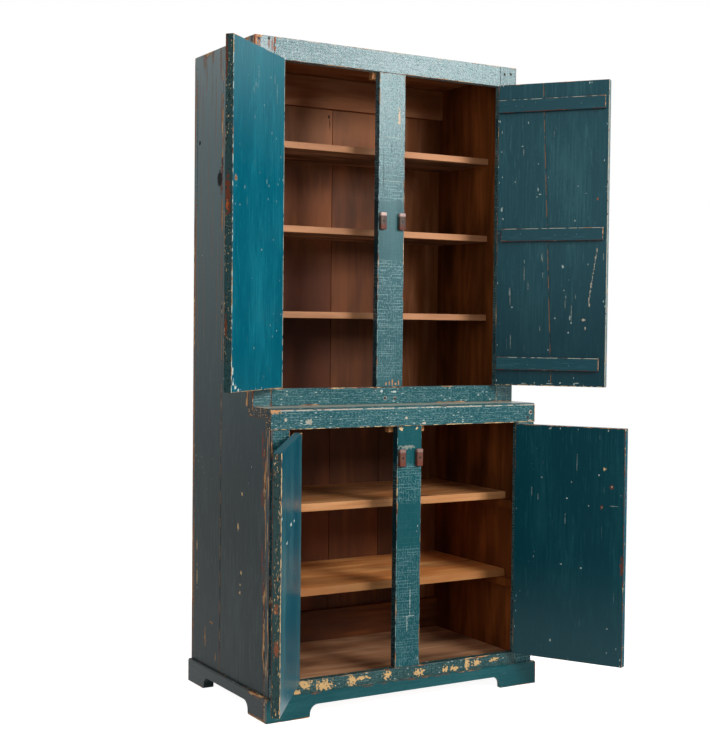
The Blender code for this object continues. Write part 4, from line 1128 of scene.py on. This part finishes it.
PAINTED_BOARDS = [
    Painted(
        "upper_left_stile", "z", CORNER_COAT, UPPER_BACK, NAIL_SCARS, CORNER_VEILS, UPPER_CORNER_LINES
    ),
    Painted("upper_right_stile", "z", STILE_COAT, UPPER_BACK, (), CORNER_VEILS, STILE_LINES),
    Painted(
        "upper_centre_stile",
        "z",
        STILE_COAT,
        UPPER_BACK,
        UPPER_STILE_SCARS,
        UPPER_STILE_VEILS + [side_shade("upper_centre_stile")],
        STILE_LINES,
        STILE_TENONS,
    ),
    Painted(
        "upper_top_rail", "x", TOP_RAIL_COAT, UPPER_BACK, (), TOP_RAIL_VEILS, TOP_RAIL_LINES, RAIL_TENONS
    ),
    Painted("upper_bottom_rail", "x", RAIL_COAT, UPPER_BACK, UPPER_RAIL_SCARS, tenons=RAIL_TENONS),
    Painted("lower_left_stile", "z", CORNER_COAT, LOWER_BACK, lines=LOWER_CORNER_LINES),
    Painted("lower_right_stile", "z", LOW_STILE_COAT, LOWER_BACK, lines=STILE_LINES),
    Painted(
        "lower_centre_stile",
        "z",
        LOW_STILE_COAT,
        LOWER_BACK,
        LOWER_STILE_SCARS,
        [side_shade("lower_centre_stile")],
        STILE_LINES,
        STILE_TENONS,
    ),
    Painted("lower_bottom_rail", "x", LOW_RAIL_COAT, LOWER_BACK, LOWER_RAIL_SCARS, tenons=RAIL_TENONS),
    Painted("counter_rail", "x", RAIL_COAT, LOWER_BACK, COUNTER_RAIL_SCARS, lines=COUNTER_LINES),
    Painted("counter_board", "x flat", COUNTER_COAT, COUNTER_BARE),
    Painted("roof_board", "x flat", ROOF_COAT, ROOF_BARE),
    Painted("plinth_front", "x", PLINTH_COAT, lines=PLINTH_LINES),
    Painted("plinth_left", "y", ROOF_COAT),
    Painted("plinth_right", "y", ROOF_COAT),
    Painted("left_side", "z", SIDE_COAT, LEFT_BARE, LEFT_SIDE_SCARS, SIDE_VEILS),
    Painted("right_side", "z", SIDE_COAT, RIGHT_BARE, (), SIDE_VEILS),
    Painted(
        "upper_left_door", "z", BRIGHT_COAT, (), BRIGHT_DOOR_SCARS, BRIGHT_DOOR_VEILS, BRIGHT_DOOR_LINES
    ),
    Painted("lower_left_door", "z", GREYED_COAT, (), GREYED_DOOR_SCARS, (), GREYED_DOOR_LINES),
    Painted("lower_right_door", "z", DEEP_COAT, (), DEEP_DOOR_SCARS, DEEP_DOOR_VEILS, DEEP_DOOR_LINES),
]
for part, lines in (("hinge", HINGE_BOARD_LINES), ("free", FREE_BOARD_LINES)):
    node = f"upper_right_door_{part}_board"
    PAINTED_BOARDS.append(Painted(node, "z", DARK_COAT, (), UPPER_RIGHT_SCARS, DARK_DOOR_VEILS, lines))
for height in ("bottom", "middle", "top"):
    node = f"upper_right_door_{height}_batten"
    PAINTED_BOARDS.append(Painted(node, "x", BATTEN_COAT, lines=BATTEN_LINES))

# The sides' worn edges
STEP_HEIGHT = 0.8972
LOWER_JOINT = -0.0790
UPPER_JOINT = 0.0390
BOARD_SEAM = 0.2245
SEAM_FRONT_TIGHTNESS = 3.0
SEAM_WORN_ABOVE = (1.05, 1.25)
SEAM_THIN = 5.0
SEAM_WIDE = 1.3


def side_edges(brush, place, local):
    """How far a place on a side is from its back edge, top, seam and joint with the face frame."""
    _, depth, up = brush.parts(local)
    back = brush.math("SUBTRACT", place.half.y, depth)
    top = brush.math("SUBTRACT", place.half.z, up)
    above = brush.math("GREATER_THAN", up, STEP_HEIGHT - place.middle.z)
    joint = brush.blend(above, LOWER_JOINT - place.middle.y, UPPER_JOINT - place.middle.y)
    front = brush.math("SUBTRACT", depth, joint)
    behind = brush.math("SUBTRACT", depth, BOARD_SEAM - place.middle.y)
    seam = brush.math("MAXIMUM", behind, brush.times(behind, -SEAM_FRONT_TIGHTNESS))
    worn = brush.rise(up, *(height - place.middle.z for height in SEAM_WORN_ABOVE))
    seam = brush.times(seam, brush.blend(worn, SEAM_THIN, SEAM_WIDE))
    nearest = brush.math("MINIMUM", brush.math("MINIMUM", back, top), front)
    return brush.math("MINIMUM", nearest, seam)


def square_edges(brush, place, local):
    return use_group(brush, BOARD_EDGES, {"Place": local, "Half": place.half})["Edge"]


def unpainted_share(brush, place, local, zones):
    """1 on the faces of a board that were never painted."""
    parts = brush.parts(local)
    total = 0.0
    for zone in zones:
        offset = brush.math("SUBTRACT", parts[zone.axis], zone.plane - place.middle[zone.axis])
        past = brush.rise(brush.times(offset, zone.sign), -ZONE_BLUR, ZONE_BLUR)
        total = brush.math("MAXIMUM", total, past)
    return total


# Crackled heights of the centre stiles, and how much each is crackled
Band = namedtuple("Band", "low high cracks dashes")
CRACKLE_BANDS = {
    "upper_centre_stile": [
        Band(1.155, 1.330, 0.62, 0.05),
        Band(0.985, 1.155, 0.34, 0.42),
        Band(1.530, 1.640, 0.8, 0.5),
        Band(1.640, 2.000, 0.9, 0.9),
    ],
    "lower_centre_stile": [
        Band(0.616, 0.715, 0.46, 0.36),
        Band(0.080, 0.460, 0.36, 0.32),
    ],
}
BAND_BLUR = 0.02
SMOOTH_SHARE = 0.05


def crackle_shares(brush, board, place, local):
    """How far a board's paint is crackled across the grain and along it."""
    if board.node not in CRACKLE_BANDS:
        return board.coat.cracks, board.coat.dashes
    up = brush.parts(local)[UP]
    cracks = SMOOTH_SHARE
    dashes = SMOOTH_SHARE
    for band in CRACKLE_BANDS[board.node]:
        low = band.low - place.middle.z
        high = band.high - place.middle.z
        inside = brush.times(brush.rise(up, low - BAND_BLUR, low), brush.fall(up, high, high + BAND_BLUR))
        cracks = brush.math("MAXIMUM", cracks, brush.times(inside, band.cracks))
        dashes = brush.math("MAXIMUM", dashes, brush.times(inside, band.dashes))
    return cracks, dashes


def tinted(brush, veils, place, local, paint, faded):
    """A board's colour and its faded colour, with its tints over them, mostly painted light and shade."""
    parts = brush.parts(local)
    for veil in veils:
        low = veil.low - place.middle[veil.axis]
        high = veil.high - place.middle[veil.axis]
        along = parts[veil.axis]
        reach = brush.rise(along, low, high) if low < high else brush.fall(along, high, low)
        share = brush.times(reach, veil.share)
        paint = brush.mix(share, paint, veil.tint)
        faded = brush.mix(share, faded, veil.tint)
    return paint, faded


def line_share(brush, place, local, grain, line):
    """1 along one arris of a face, broken off here and there."""
    parts = brush.parts(local)
    inward = brush.math("SUBTRACT", place.half[line.axis], brush.times(parts[line.axis], line.side))
    strip = brush.fall(inward, line.width * LINE_CORE, line.width)
    towards = brush.times(parts[DEPTH], FACE_SIDES[line.face])
    on_face = brush.rise(towards, *in_from_face(place.half.y, FACE_REACH))
    kept = brush.patches(grain, LINE_STRETCH, (line.breaks, line.breaks + LINE_FADE), LINE_DETAIL)
    return brush.times(strip, on_face, kept)


# Doors' edge faces, dark with worn patches and pale flecks
Rim = namedtuple("Rim", "tint worn")
RIMS = {
    "upper_left_door": Rim(RIM_TEAL, 0.72),
    "lower_left_door": Rim(RIM_TEAL, 0.62),
    "lower_right_door": Rim(GREYED_TEAL, 0.64),
    "upper_right_door_free_board": Rim(PALE_SLATE, 0.60),
}
RIM_REACH = (0.0016, 0.0006)
RIM_SHARE = 0.8
RIM_STRETCH = (44.0, 150.0, 150.0)
RIM_DETAIL = 4.0
FLECK_STRETCH = (110.0, 260.0, 260.0)
FLECK_RISE = (0.62, 0.66)
DENT_STRETCH = (100.0, 230.0, 230.0)
DENT_RISE = (0.58, 0.64)
DENT_STRENGTH = 0.7
END_REACH = (0.0014, 0.0006)
FLECK_GROUP_STRETCH = (9.0, 30.0, 30.0)
FLECK_GROUPS = (0.47, 0.57)
FLECK_STRENGTH = 0.8
PATCH_BLUR = 0.05


def rim_over(brush, place, local, grain, finish, rim):
    across, depth, _ = brush.parts(brush.vector("ABSOLUTE", local))
    end = brush.rise(across, *in_from_face(place.half.x, END_REACH))
    edge_face = brush.times(end, brush.fall(depth, *in_from_face(place.half.y, RIM_REACH)))
    finish = lay_over(brush, brush.times(edge_face, RIM_SHARE), finish, rim.tint)
    worn = brush.patches(grain, RIM_STRETCH, (rim.worn, rim.worn + PATCH_BLUR), RIM_DETAIL)
    timber = rubbed_timber(brush, grain)
    finish = lay_over(brush, brush.times(edge_face, worn), finish, timber, 1.0)
    dents = brush.patches(grain, DENT_STRETCH, DENT_RISE)
    finish = lay_over(brush, brush.times(edge_face, dents, DENT_STRENGTH), finish, DENT_DARK, 1.0)
    flecks = brush.patches(grain, FLECK_STRETCH, FLECK_RISE)
    groups = brush.patches(grain, FLECK_GROUP_STRETCH, FLECK_GROUPS)
    return lay_over(brush, brush.times(edge_face, flecks, groups, FLECK_STRENGTH), finish, CREAM_WOOD, 1.0)


# Left-hand faces of the frame, battered down to the wood in streaks
BATTERED = {"lower_left_stile": 0.55, "upper_left_stile": 0.52, "counter_rail": 0.58, "counter_board": 0.54}
BATTER_STRETCH = (11.0, 150.0, 150.0)
BATTER_DETAIL = 4.0
BATTER_REACH = (0.0006, 0.0012)


def batter_over(brush, place, local, grain, finish, threshold):
    across = brush.parts(local)[ACROSS]
    outer = brush.fall(across, *(reach - place.half.x for reach in BATTER_REACH))
    worn = brush.patches(grain, BATTER_STRETCH, (threshold, threshold + PATCH_BLUR), BATTER_DETAIL)
    timber = rubbed_timber(brush, grain)
    finish = lay_over(brush, outer, finish, SLATE_TEAL)
    return lay_over(brush, brush.times(outer, worn), finish, timber, 1.0)


# The battened door's slanting seam, from its top to its bottom, as across and up
SEAM_TOP = (0.1469, 1.906)
SEAM_BOTTOM = (0.1849, 0.952)
SEAM_SLANT = (SEAM_BOTTOM[0] - SEAM_TOP[0]) / (SEAM_TOP[1] - SEAM_BOTTOM[1])
SEAM_REACH = (0.0010, 0.0021)
SEAM_BREAKS = (0.42, 0.54)
SEAM_STRENGTH = 0.8
SEAMED = ("upper_right_door_hinge_board", "upper_right_door_free_board")


def seam_over(brush, place, local, grain, finish):
    across, depth, up = brush.parts(local)
    along = brush.times(brush.add(across, place.middle.x), place.stand.hand)
    dropped = brush.math("SUBTRACT", SEAM_TOP[1] - place.middle.z, up)
    seam = brush.add(brush.times(dropped, SEAM_SLANT), SEAM_TOP[0])
    off = brush.math("ABSOLUTE", brush.math("SUBTRACT", along, seam))
    kept = brush.patches(grain, LINE_STRETCH, SEAM_BREAKS, LINE_DETAIL)
    on_face = brush.rise(depth, *in_from_face(place.half.y, FACE_REACH))
    share = brush.times(brush.fall(off, *SEAM_REACH), kept, on_face, SEAM_STRENGTH)
    return lay_over(brush, share, finish, STREAK_BROWN)


def paint_board(board, seed):
    place = place_of(board.node, board.tenons)
    made, brush = new_material(board.node + "_paint")
    local = board_space(brush, place)
    grain = grain_space(brush, local, board.grain, seed)
    if board.node in SIDE_INNER:
        edge = side_edges(brush, place, local)
    else:
        edge = square_edges(brush, place, local)
    cracks, dashes = crackle_shares(brush, board, place, local)
    paint, faded = tinted(brush, board.veils, place, local, board.coat.paint, board.coat.faded)
    inputs = {
        "Grain": grain,
        "Edge": edge,
        "Wear": board.coat.wear,
        "Cracks": cracks,
        "Dashes": dashes,
        "Specks": board.coat.specks,
        "Edge specks": board.coat.edge_specks,
        "Streaks": board.coat.streaks,
        "Paint": paint,
        "Faded": faded,
    }
    finish = group_finish(brush, WORN_PAINT, inputs)
    if board.node in RIMS:
        finish = rim_over(brush, place, local, grain, finish, RIMS[board.node])
    if board.node in BATTERED:
        finish = batter_over(brush, place, local, grain, finish, BATTERED[board.node])
    if board.node in SEAMED:
        finish = seam_over(brush, place, local, grain, finish)
    for line in board.lines:
        finish = lay_over(brush, line_share(brush, place, local, grain, line), finish, line.tint)
    finish = lay_scars(brush, place, local, finish, board.scars)
    if board.zones:
        timber = pine_finish(brush, grain, edge, INSIDE_WOODS.get(board.node, BACK_WOOD))
        share = unpainted_share(brush, place, local, board.zones)
        finish = Finish(
            brush.mix(share, finish.color, timber.color),
            brush.blend(share, finish.roughness, timber.roughness),
            brush.blend(share, finish.height, timber.height),
        )
    dress(board.node, finish_material(made, brush, finish, PAINT_BUMP, board.coat.gloss))


for seed, board in enumerate(PAINTED_BOARDS, PAINT_SEED):
    paint_board(board, seed)


# Bare boards
BUTTON_WOODS = {
    "upper": Wood(BUTTON_LIGHT, BUTTON_MID, BUTTON_DARK, 0.0),
    "lower": Wood(BUTTON_WARM, BUTTON_BROWN, BUTTON_DARK, 0.0),
}
BUTTON_HIGHLIGHT_SHARES = {"upper": 0.9, "lower": 0.25}
Bare = namedtuple("Bare", "node grain wood scars veils", defaults=((), ()))
# Over the back boards: paler towards the top and again below 1.66 m, painted shade below 1.44 m and painted
# light below 0.95 m
BACK_VEILS = [
    Veil(PINE_PALE, UP, 1.60, 1.78, 0.50),
    Veil(WALL_LIGHT, UP, 1.66, 1.52, 0.28),
    Veil(WARM_SHADE, UP, 1.44, 1.30, 0.82),
    Veil(WALL_LIGHT, UP, 0.95, 0.85, 0.22),
]
UPPER_BACK_VEILS = [
    Veil(PINE_PALE, UP, 1.66, 1.78, 0.45),
    Veil(PINE_DARK, UP, 1.70, 1.58, 0.45),
]
# Painted shade over the left part of the corner back board
CORNER_BACK_SHADE = [Veil(PINE_DARK, ACROSS, 0.320, 0.290, 0.85)]
BACK_KNOTS = [
    Mark(0.032, 1.829, 0.0056, 0.0080),
    Mark(0.035, 1.806, 0.0020, 0.0180),
    Mark(-0.260, 1.050, 0.0050, 0.0065),
]
BUTTON_HEIGHTS = {"upper": 1.45703, "lower": 0.74102}
FRONT_SPAN = 2.0
HIGHLIGHT_END = (0.0135, 0.019)
RED_END = (0.005, 0.017)
BUTTON_RED_SHARE = 0.7


def button_veils(row):
    """A turn button's ends: a painted highlight over the top, red below."""
    middle = BUTTON_HEIGHTS[row]
    pale = Veil(BUTTON_HIGHLIGHT, UP, middle + HIGHLIGHT_END[0], middle + HIGHLIGHT_END[1], BUTTON_HIGHLIGHT_SHARES[row])
    red = Veil(BUTTON_RED, UP, middle - RED_END[0], middle - RED_END[1], BUTTON_RED_SHARE)
    return [pale, red]


def front_marks(node):
    """One mark over the whole front edge of a board."""
    place = place_of(node)
    return [Mark(place.middle.x, place.middle.z, place.half.x * FRONT_SPAN, place.half.z * FRONT_SPAN)]


OUTER_NAIL_RADIUS = 0.0045
OUTER_NAIL_COLUMNS = (-0.33, -0.09, 0.15, 0.38)
OUTER_NAIL_ROWS = (0.20, 1.05, 1.90)
OUTER_NAILS = [
    Mark(across, up, OUTER_NAIL_RADIUS, OUTER_NAIL_RADIUS)
    for across in OUTER_NAIL_COLUMNS
    for up in OUTER_NAIL_ROWS
]
BACK_SCARS = [
    Scar(PINE_DARK, "front", BACK_KNOTS, CRISP_RIM),
    Scar(NEARLY_BLACK, "inner", OUTER_NAILS, CRISP_RIM),
]
FRONT_SHADE = [Scar(SHELF_DARK, "front", front_marks("lower_shelf_1"), CRISP_RIM, 0.52)]
BARE_BOARDS = [
    Bare("floor_board", "x", FLOOR_WOOD),
    *(Bare(f"back_board_{number}", "z", BACK_WOOD, BACK_SCARS, BACK_VEILS) for number in (1, 2)),
    Bare("back_board_3", "z", WALL_WOOD, BACK_SCARS, UPPER_BACK_VEILS),
    Bare("back_board_4", "z", CORNER_WOOD, BACK_SCARS, CORNER_BACK_SHADE),
    Bare("back_top_rail", "x", RAIL_WOOD),
    Bare("back_bottom_rail", "x", BACK_WOOD),
    *(Bare(f"upper_shelf_{number}", "x", UPPER_SHELF_WOOD) for number in (1, 2, 3)),
    Bare("lower_shelf_1", "x", AMBER_SHELF_WOOD, FRONT_SHADE),
    Bare("lower_shelf_2", "x", LOWER_SHELF_WOOD),
    *(Bare(f"{row}_door_stop", "z", STOP_WOOD) for row in ("upper", "lower")),
]
for row in BUTTON_HEIGHTS:
    for side in ("left", "right"):
        node = f"{row}_{side}_turn_button"
        BARE_BOARDS.append(Bare(node, "z", BUTTON_WOODS[row], (), button_veils(row)))


def oil_board(board, seed):
    place = place_of(board.node)
    made, brush = new_material(board.node + "_pine")
    local = board_space(brush, place)
    grain = grain_space(brush, local, board.grain, seed)
    edge = square_edges(brush, place, local)
    mid, light = tinted(brush, board.veils, place, local, board.wood.mid, board.wood.light)
    finish = pine_finish(brush, grain, edge, board.wood._replace(light=light, mid=mid))
    finish = lay_scars(brush, place, local, finish, board.scars)
    dress(board.node, finish_material(made, brush, finish, PINE_BUMP, PINE_GLOSS))


for seed, board in enumerate(BARE_BOARDS, PINE_SEED):
    oil_board(board, seed)


# Iron
RUST_STRETCH = (180.0, 180.0, 180.0)
RUST_DETAIL = 4.0
RUST_RISE = (0.44, 0.62)
RUST_RELIEF = 0.5
PIT_STRETCH = (900.0, 900.0, 900.0)
IRON_ROUGHNESS = 0.42
RUST_ROUGHNESS = 0.8
IRON_BUMP = 0.0002
IRON_GLOSS = 0.4


def make_metal(name, bright, dull):
    """Metal in two tones, smoother where it is bright."""
    made, brush = new_material(name)
    room = brush.node("ShaderNodeTexCoord", {}).outputs["Object"]
    rust = brush.patches(room, RUST_STRETCH, RUST_RISE, RUST_DETAIL)
    pits = brush.noise(room, PIT_STRETCH)
    height = brush.add(pits, brush.times(rust, RUST_RELIEF))
    roughness = brush.blend(rust, IRON_ROUGHNESS, RUST_ROUGHNESS)
    finish = Finish(brush.mix(rust, bright, dull), roughness, height)
    return finish_material(made, brush, finish, IRON_BUMP, IRON_GLOSS)


OLD_IRON = make_metal("old_iron_with_rust", IRON, IRON_RUST)
PAINTED_IRON = make_metal("iron_under_paint", DARK_TEAL_FADED, DARK_TEAL)
HINGE_LEAVES = [name for name in frame["nodes"] if name.endswith("_leaf")]
for name in HINGE_LEAVES:
    dress(name, PAINTED_IRON)


# Nail and screw heads, scattered over marked places by geometry nodes
HEAD_SEED = 7
FULL_TURN = math.tau
RANDOM_LOW = 2
RANDOM_HIGH = 3
RANDOM_SEED = "Seed"
RANDOM_NUMBER = 1
HEAD_INPUTS = [
    ("Places", "shape"),
    ("Sides", "count"),
    ("Base", "number"),
    ("Top", "number"),
    ("Height", "number"),
    ("Slot", "number"),
    ("Seed", "count"),
    ("Material", "material"),
]
SLOT_REACH = 2.4


def make_head_tree(name, slotted):
    """One low cone on each place, turned to face out and spun at random, with or without a slot."""
    outputs = [("Heads", "shape")]
    tree, brush, given, results = new_group("GeometryNodeTree", name, HEAD_INPUTS, outputs)
    sizes = {
        "Vertices": given["Sides"],
        "Radius Top": given["Top"],
        "Radius Bottom": given["Base"],
        "Depth": given["Height"],
    }
    head = brush.node("GeometryNodeMeshCone", sizes).outputs["Mesh"]
    if slotted:
        length = brush.times(given["Base"], SLOT_REACH)
        size = brush.join(length, given["Slot"], given["Slot"])
        bar = brush.node("GeometryNodeMeshCube", {"Size": size}).outputs["Mesh"]
        lift = brush.join(0.0, 0.0, given["Height"])
        raised = brush.node("GeometryNodeTransform", {"Geometry": bar, "Translation": lift})
        cut = {"Mesh 1": head, "Mesh 2": raised.outputs[0]}
        head = brush.node("GeometryNodeMeshBoolean", cut, operation="DIFFERENCE").outputs["Mesh"]
    facing = brush.node("GeometryNodeInputNamedAttribute", {"Name": "facing"}, data_type="FLOAT_VECTOR")
    aim = {"Vector": facing.outputs["Attribute"]}
    aimed = brush.node("FunctionNodeAlignRotationToVector", aim, axis="Z").outputs[0]
    chance = {RANDOM_LOW: 0.0, RANDOM_HIGH: FULL_TURN, RANDOM_SEED: given["Seed"]}
    angle = brush.node("FunctionNodeRandomValue", chance, data_type="FLOAT").outputs[RANDOM_NUMBER]
    spin = brush.node("FunctionNodeAxisAngleToRotation", {"Axis": (0.0, 0.0, 1.0), "Angle": angle})
    turn = {"Rotation": aimed, "Rotate By": spin.outputs[0]}
    turned = brush.node("FunctionNodeRotateRotation", turn, rotation_space="LOCAL").outputs[0]
    points = brush.node("GeometryNodeMeshToPoints", {"Mesh": given["Places"]}).outputs[0]
    spots = {"Points": points, "Instance": head, "Rotation": turned}
    heads = brush.node("GeometryNodeInstanceOnPoints", spots).outputs[0]
    real = brush.node("GeometryNodeRealizeInstances", {"Geometry": heads}).outputs[0]
    coat = {"Geometry": real, "Material": given["Material"]}
    brush.feed(results["Heads"], brush.node("GeometryNodeSetMaterial", coat).outputs[0])
    return tree


NAIL_TREE = make_head_tree("nail_heads", False)
SCREW_TREE = make_head_tree("slotted_screw_heads", True)
Head = namedtuple("Head", "place facing")
Kind = namedtuple("Kind", "tree sides base top height slot", defaults=(0.0,))
NAIL = Kind(NAIL_TREE, 7, 0.0046, 0.0020, 0.0010)
SMALL_NAIL = Kind(NAIL_TREE, 7, 0.0026, 0.0012, 0.0007)
BUTTON_SCREW = Kind(SCREW_TREE, 16, 0.0038, 0.0032, 0.0012, 0.0011)
FLUSH_SCREW = Kind(SCREW_TREE, 14, 0.0034, 0.0033, 0.0001, 0.0008)


def fix_heads(name, body, heads, kind, material):
    """Makes the heads at these places into one plain mesh that rides on a body."""
    places = bpy.data.meshes.new(name + "_places")
    places.from_pydata([head.place for head in heads], [], [])
    facing = places.attributes.new("facing", "FLOAT_VECTOR", "POINT")
    for index, head in enumerate(heads):
        facing.data[index].vector = head.facing
    piece = bpy.data.objects.new(name, places)
    bpy.context.scene.collection.objects.link(piece)
    modifier = piece.modifiers.new("heads", "NODES")
    modifier.node_group = kind.tree
    values = {field.title(): value for field, value in kind._asdict().items()}
    values.update(Seed=HEAD_SEED, Material=material)
    for socket in kind.tree.interface.items_tree:
        if socket.in_out == "INPUT" and socket.name in values:
            modifier[socket.identifier] = values[socket.name]
    graph = bpy.context.evaluated_depsgraph_get()
    mesh = bpy.data.meshes.new_from_object(piece.evaluated_get(graph))
    piece.modifiers.remove(modifier)
    piece.data = mesh
    mesh.name = name
    bpy.data.meshes.remove(places)
    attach(piece, body)


# Where the nails and screws are
TOWARDS_FRONT = Vector((0.0, -1.0, 0.0))
UPPER_FACE = 0.01252
COUNTER_FACE = -0.10848
STILE_NAILS = [
    (-0.429, 1.962),
    (-0.397, 1.966),
    (0.450, 1.949),
    (0.475, 1.952),
    (0.011, 0.915),
    (0.047, 0.913),
]
COUNTER_NAILS = [(0.482, 0.868), (0.470, 0.852)]
BATTEN_FACE = 0.0455
BATTEN_NAILS = [
    (0.063, 1.836),
    (0.082, 1.834),
    (0.124, 1.843),
    (0.270, 1.835),
    (0.082, 1.432),
    (0.132, 1.430),
    (0.193, 1.427),
    (0.228, 1.428),
    (0.261, 1.428),
    (0.051, 1.018),
    (0.110, 1.019),
    (0.242, 1.017),
]
LEAF_FACE = 0.00015
LEAF_SCREW_DEPTH = 0.0165
LEAF_SCREW_RISES = (-0.021, 0.0, 0.021)


def door_head(stand, place, facing):
    """A head given along a door's own axes, put where the door stands."""
    turn = Matrix.Rotation(stand.turn, 3, "Z")
    return Head(stand.origin + turn @ Vector(place), turn @ Vector(facing))


def fix_case_nails():
    heads = [Head((x, UPPER_FACE, z), TOWARDS_FRONT) for x, z in STILE_NAILS]
    heads += [Head((x, COUNTER_FACE, z), TOWARDS_FRONT) for x, z in COUNTER_NAILS]
    fix_heads("case_nails", "case_body", heads, NAIL, OLD_IRON)


def fix_batten_nails():
    body = "upper_right_door_body"
    stand = stand_of(body)
    heads = []
    for along, up in BATTEN_NAILS:
        heads.append(door_head(stand, (along * stand.hand, BATTEN_FACE, up), (0.0, 1.0, 0.0)))
    fix_heads("upper_right_door_batten_nails", body, heads, SMALL_NAIL, PAINTED_IRON)


def fix_hinge_screws():
    case_heads = []
    for body in DOOR_BODIES:
        stand = stand_of(body)
        door = body.removesuffix("_body")
        door_heads = []
        for leaf in HINGE_LEAVES:
            if not (leaf.startswith(door) and leaf.endswith("door_leaf")):
                continue
            middle = place_of(leaf).middle.z
            for rise in LEAF_SCREW_RISES:
                place = Vector((stand.hand * LEAF_FACE, LEAF_SCREW_DEPTH, middle + rise))
                facing = Vector((-stand.hand, 0.0, 0.0))
                door_heads.append(door_head(stand, place, facing))
                place.x = -place.x
                case_heads.append(Head(stand.origin + place, -facing))
        fix_heads(f"{door}_hinge_screws", body, door_heads, FLUSH_SCREW, OLD_IRON)
    fix_heads("case_hinge_screws", "case_body", case_heads, FLUSH_SCREW, OLD_IRON)


def fix_button_screws():
    for side in ("upper_left", "upper_right", "lower_left", "lower_right"):
        place = place_of(f"{side}_turn_button")
        front = place.middle + Vector((0.0, -place.half.y, 0.0))
        heads = [Head(front, TOWARDS_FRONT)]
        fix_heads(f"{side}_button_screw", f"{side}_button_body", heads, BUTTON_SCREW, OLD_IRON)


fix_case_nails()
fix_batten_nails()
fix_hinge_screws()
fix_button_screws()


# Floor, light and camera
FLOOR_RADIUS = 30.0
FLOOR_SIDES = 96
AMBIENT = 0.36
FLOOR_GLOW = 0.94
WHITE_REACH = (1.6, 3.4)


def rays_to_white(brush):
    """1 for rays that show the background: straight from the camera, mirrored or passed through."""
    rays = brush.node("ShaderNodeLightPath", {}).outputs
    shown = brush.add(rays["Is Camera Ray"], rays["Is Glossy Ray"], rays["Is Transmission Ray"])
    return brush.math("MINIMUM", shown, 1.0)


def make_floor():
    shape = bmesh.new()
    bmesh.ops.create_circle(shape, cap_ends=True, segments=FLOOR_SIDES, radius=FLOOR_RADIUS)
    mesh = bpy.data.meshes.new("studio_floor")
    shape.to_mesh(mesh)
    shape.free()
    floor = bpy.data.objects.new("studio_floor", mesh)
    bpy.context.scene.collection.objects.link(floor)
    made, brush = new_material("pale_floor")
    room = brush.node("ShaderNodeTexCoord", {}).outputs["Object"]
    far = brush.rise(brush.length(room), *WHITE_REACH)
    shown = rays_to_white(brush)
    matt = brush.node("ShaderNodeBsdfDiffuse", {"Color": PALE_FLOOR})
    light = brush.times(shown, FLOOR_GLOW)
    glow = brush.node("ShaderNodeEmission", {"Color": WHITE, "Strength": light})
    near = brush.node("ShaderNodeAddShader", {0: matt.outputs[0], 1: glow.outputs[0]})
    white = brush.node("ShaderNodeEmission", {"Color": WHITE, "Strength": 1.0})
    share = brush.times(far, shown)
    surface = brush.node("ShaderNodeMixShader", {0: share, 1: near.outputs[0], 2: white.outputs[0]})
    brush.node("ShaderNodeOutputMaterial", {"Surface": surface.outputs[0]})
    mesh.materials.append(made)


def make_world():
    world = bpy.data.worlds.new("studio")
    world.use_nodes = True
    world.node_tree.nodes.clear()
    brush = Brush(world.node_tree)
    shown = rays_to_white(brush)
    soft = brush.node("ShaderNodeBackground", {"Color": WHITE, "Strength": AMBIENT})
    white = brush.node("ShaderNodeBackground", {"Color": WHITE, "Strength": 1.0})
    surface = brush.node("ShaderNodeMixShader", {0: shown, 1: soft.outputs[0], 2: white.outputs[0]})
    brush.node("ShaderNodeOutputWorld", {"Surface": surface.outputs[0]})
    bpy.context.scene.world = world


Lamp = namedtuple("Lamp", "name place aim wide high watts")
LAMPS = [
    Lamp("key_softbox", (0.95, -3.50, 2.35), (0.0, 0.1, 1.1), 1.1, 1.1, 84.0),
    Lamp("glare_strip", (1.95, -2.95, 2.80), (0.0, 0.0, 1.6), 1.8, 0.7, 40.0),
    Lamp("left_fill", (-3.40, -2.60, 2.20), (0.0, 0.1, 1.2), 2.0, 2.0, 24.0),
    Lamp("back_left_sheen", (-1.90, 3.10, 2.90), (-0.4, 0.3, 1.5), 1.4, 1.0, 9.0),
]


def make_lamps():
    for lamp in LAMPS:
        data = bpy.data.lights.new(lamp.name, "AREA")
        data.shape = "RECTANGLE"
        data.size = lamp.wide
        data.size_y = lamp.high
        data.energy = lamp.watts
        holder = bpy.data.objects.new(lamp.name, data)
        holder.location = lamp.place
        holder.rotation_mode = "QUATERNION"
        holder.rotation_quaternion = (Vector(lamp.aim) - Vector(lamp.place)).to_track_quat("-Z", "Y")
        bpy.context.scene.collection.objects.link(holder)


CAMERA_PLACE = Vector((-2.16629, -3.50876, 1.12495))
CAMERA_RIGHT = Vector((0.86224126, -0.50639397, 0.01025456))
CAMERA_UP = Vector((0.00830521, 0.03437883, 0.99937436))
CAMERA_LENS = 68.285
SENSOR_WIDTH = 36.0


def make_camera():
    data = bpy.data.cameras.new("photo_camera")
    data.lens = CAMERA_LENS
    data.sensor_width = SENSOR_WIDTH
    data.sensor_fit = "HORIZONTAL"
    camera = bpy.data.objects.new("photo_camera", data)
    axes = Matrix((CAMERA_RIGHT, CAMERA_UP, CAMERA_RIGHT.cross(CAMERA_UP))).transposed()
    camera.rotation_mode = "QUATERNION"
    camera.rotation_quaternion = axes.to_quaternion()
    camera.location = CAMERA_PLACE
    bpy.context.scene.collection.objects.link(camera)
    bpy.context.scene.camera = camera


make_floor()
make_world()
make_lamps()
make_camera()
bpy.context.scene.view_settings.view_transform = "Standard"
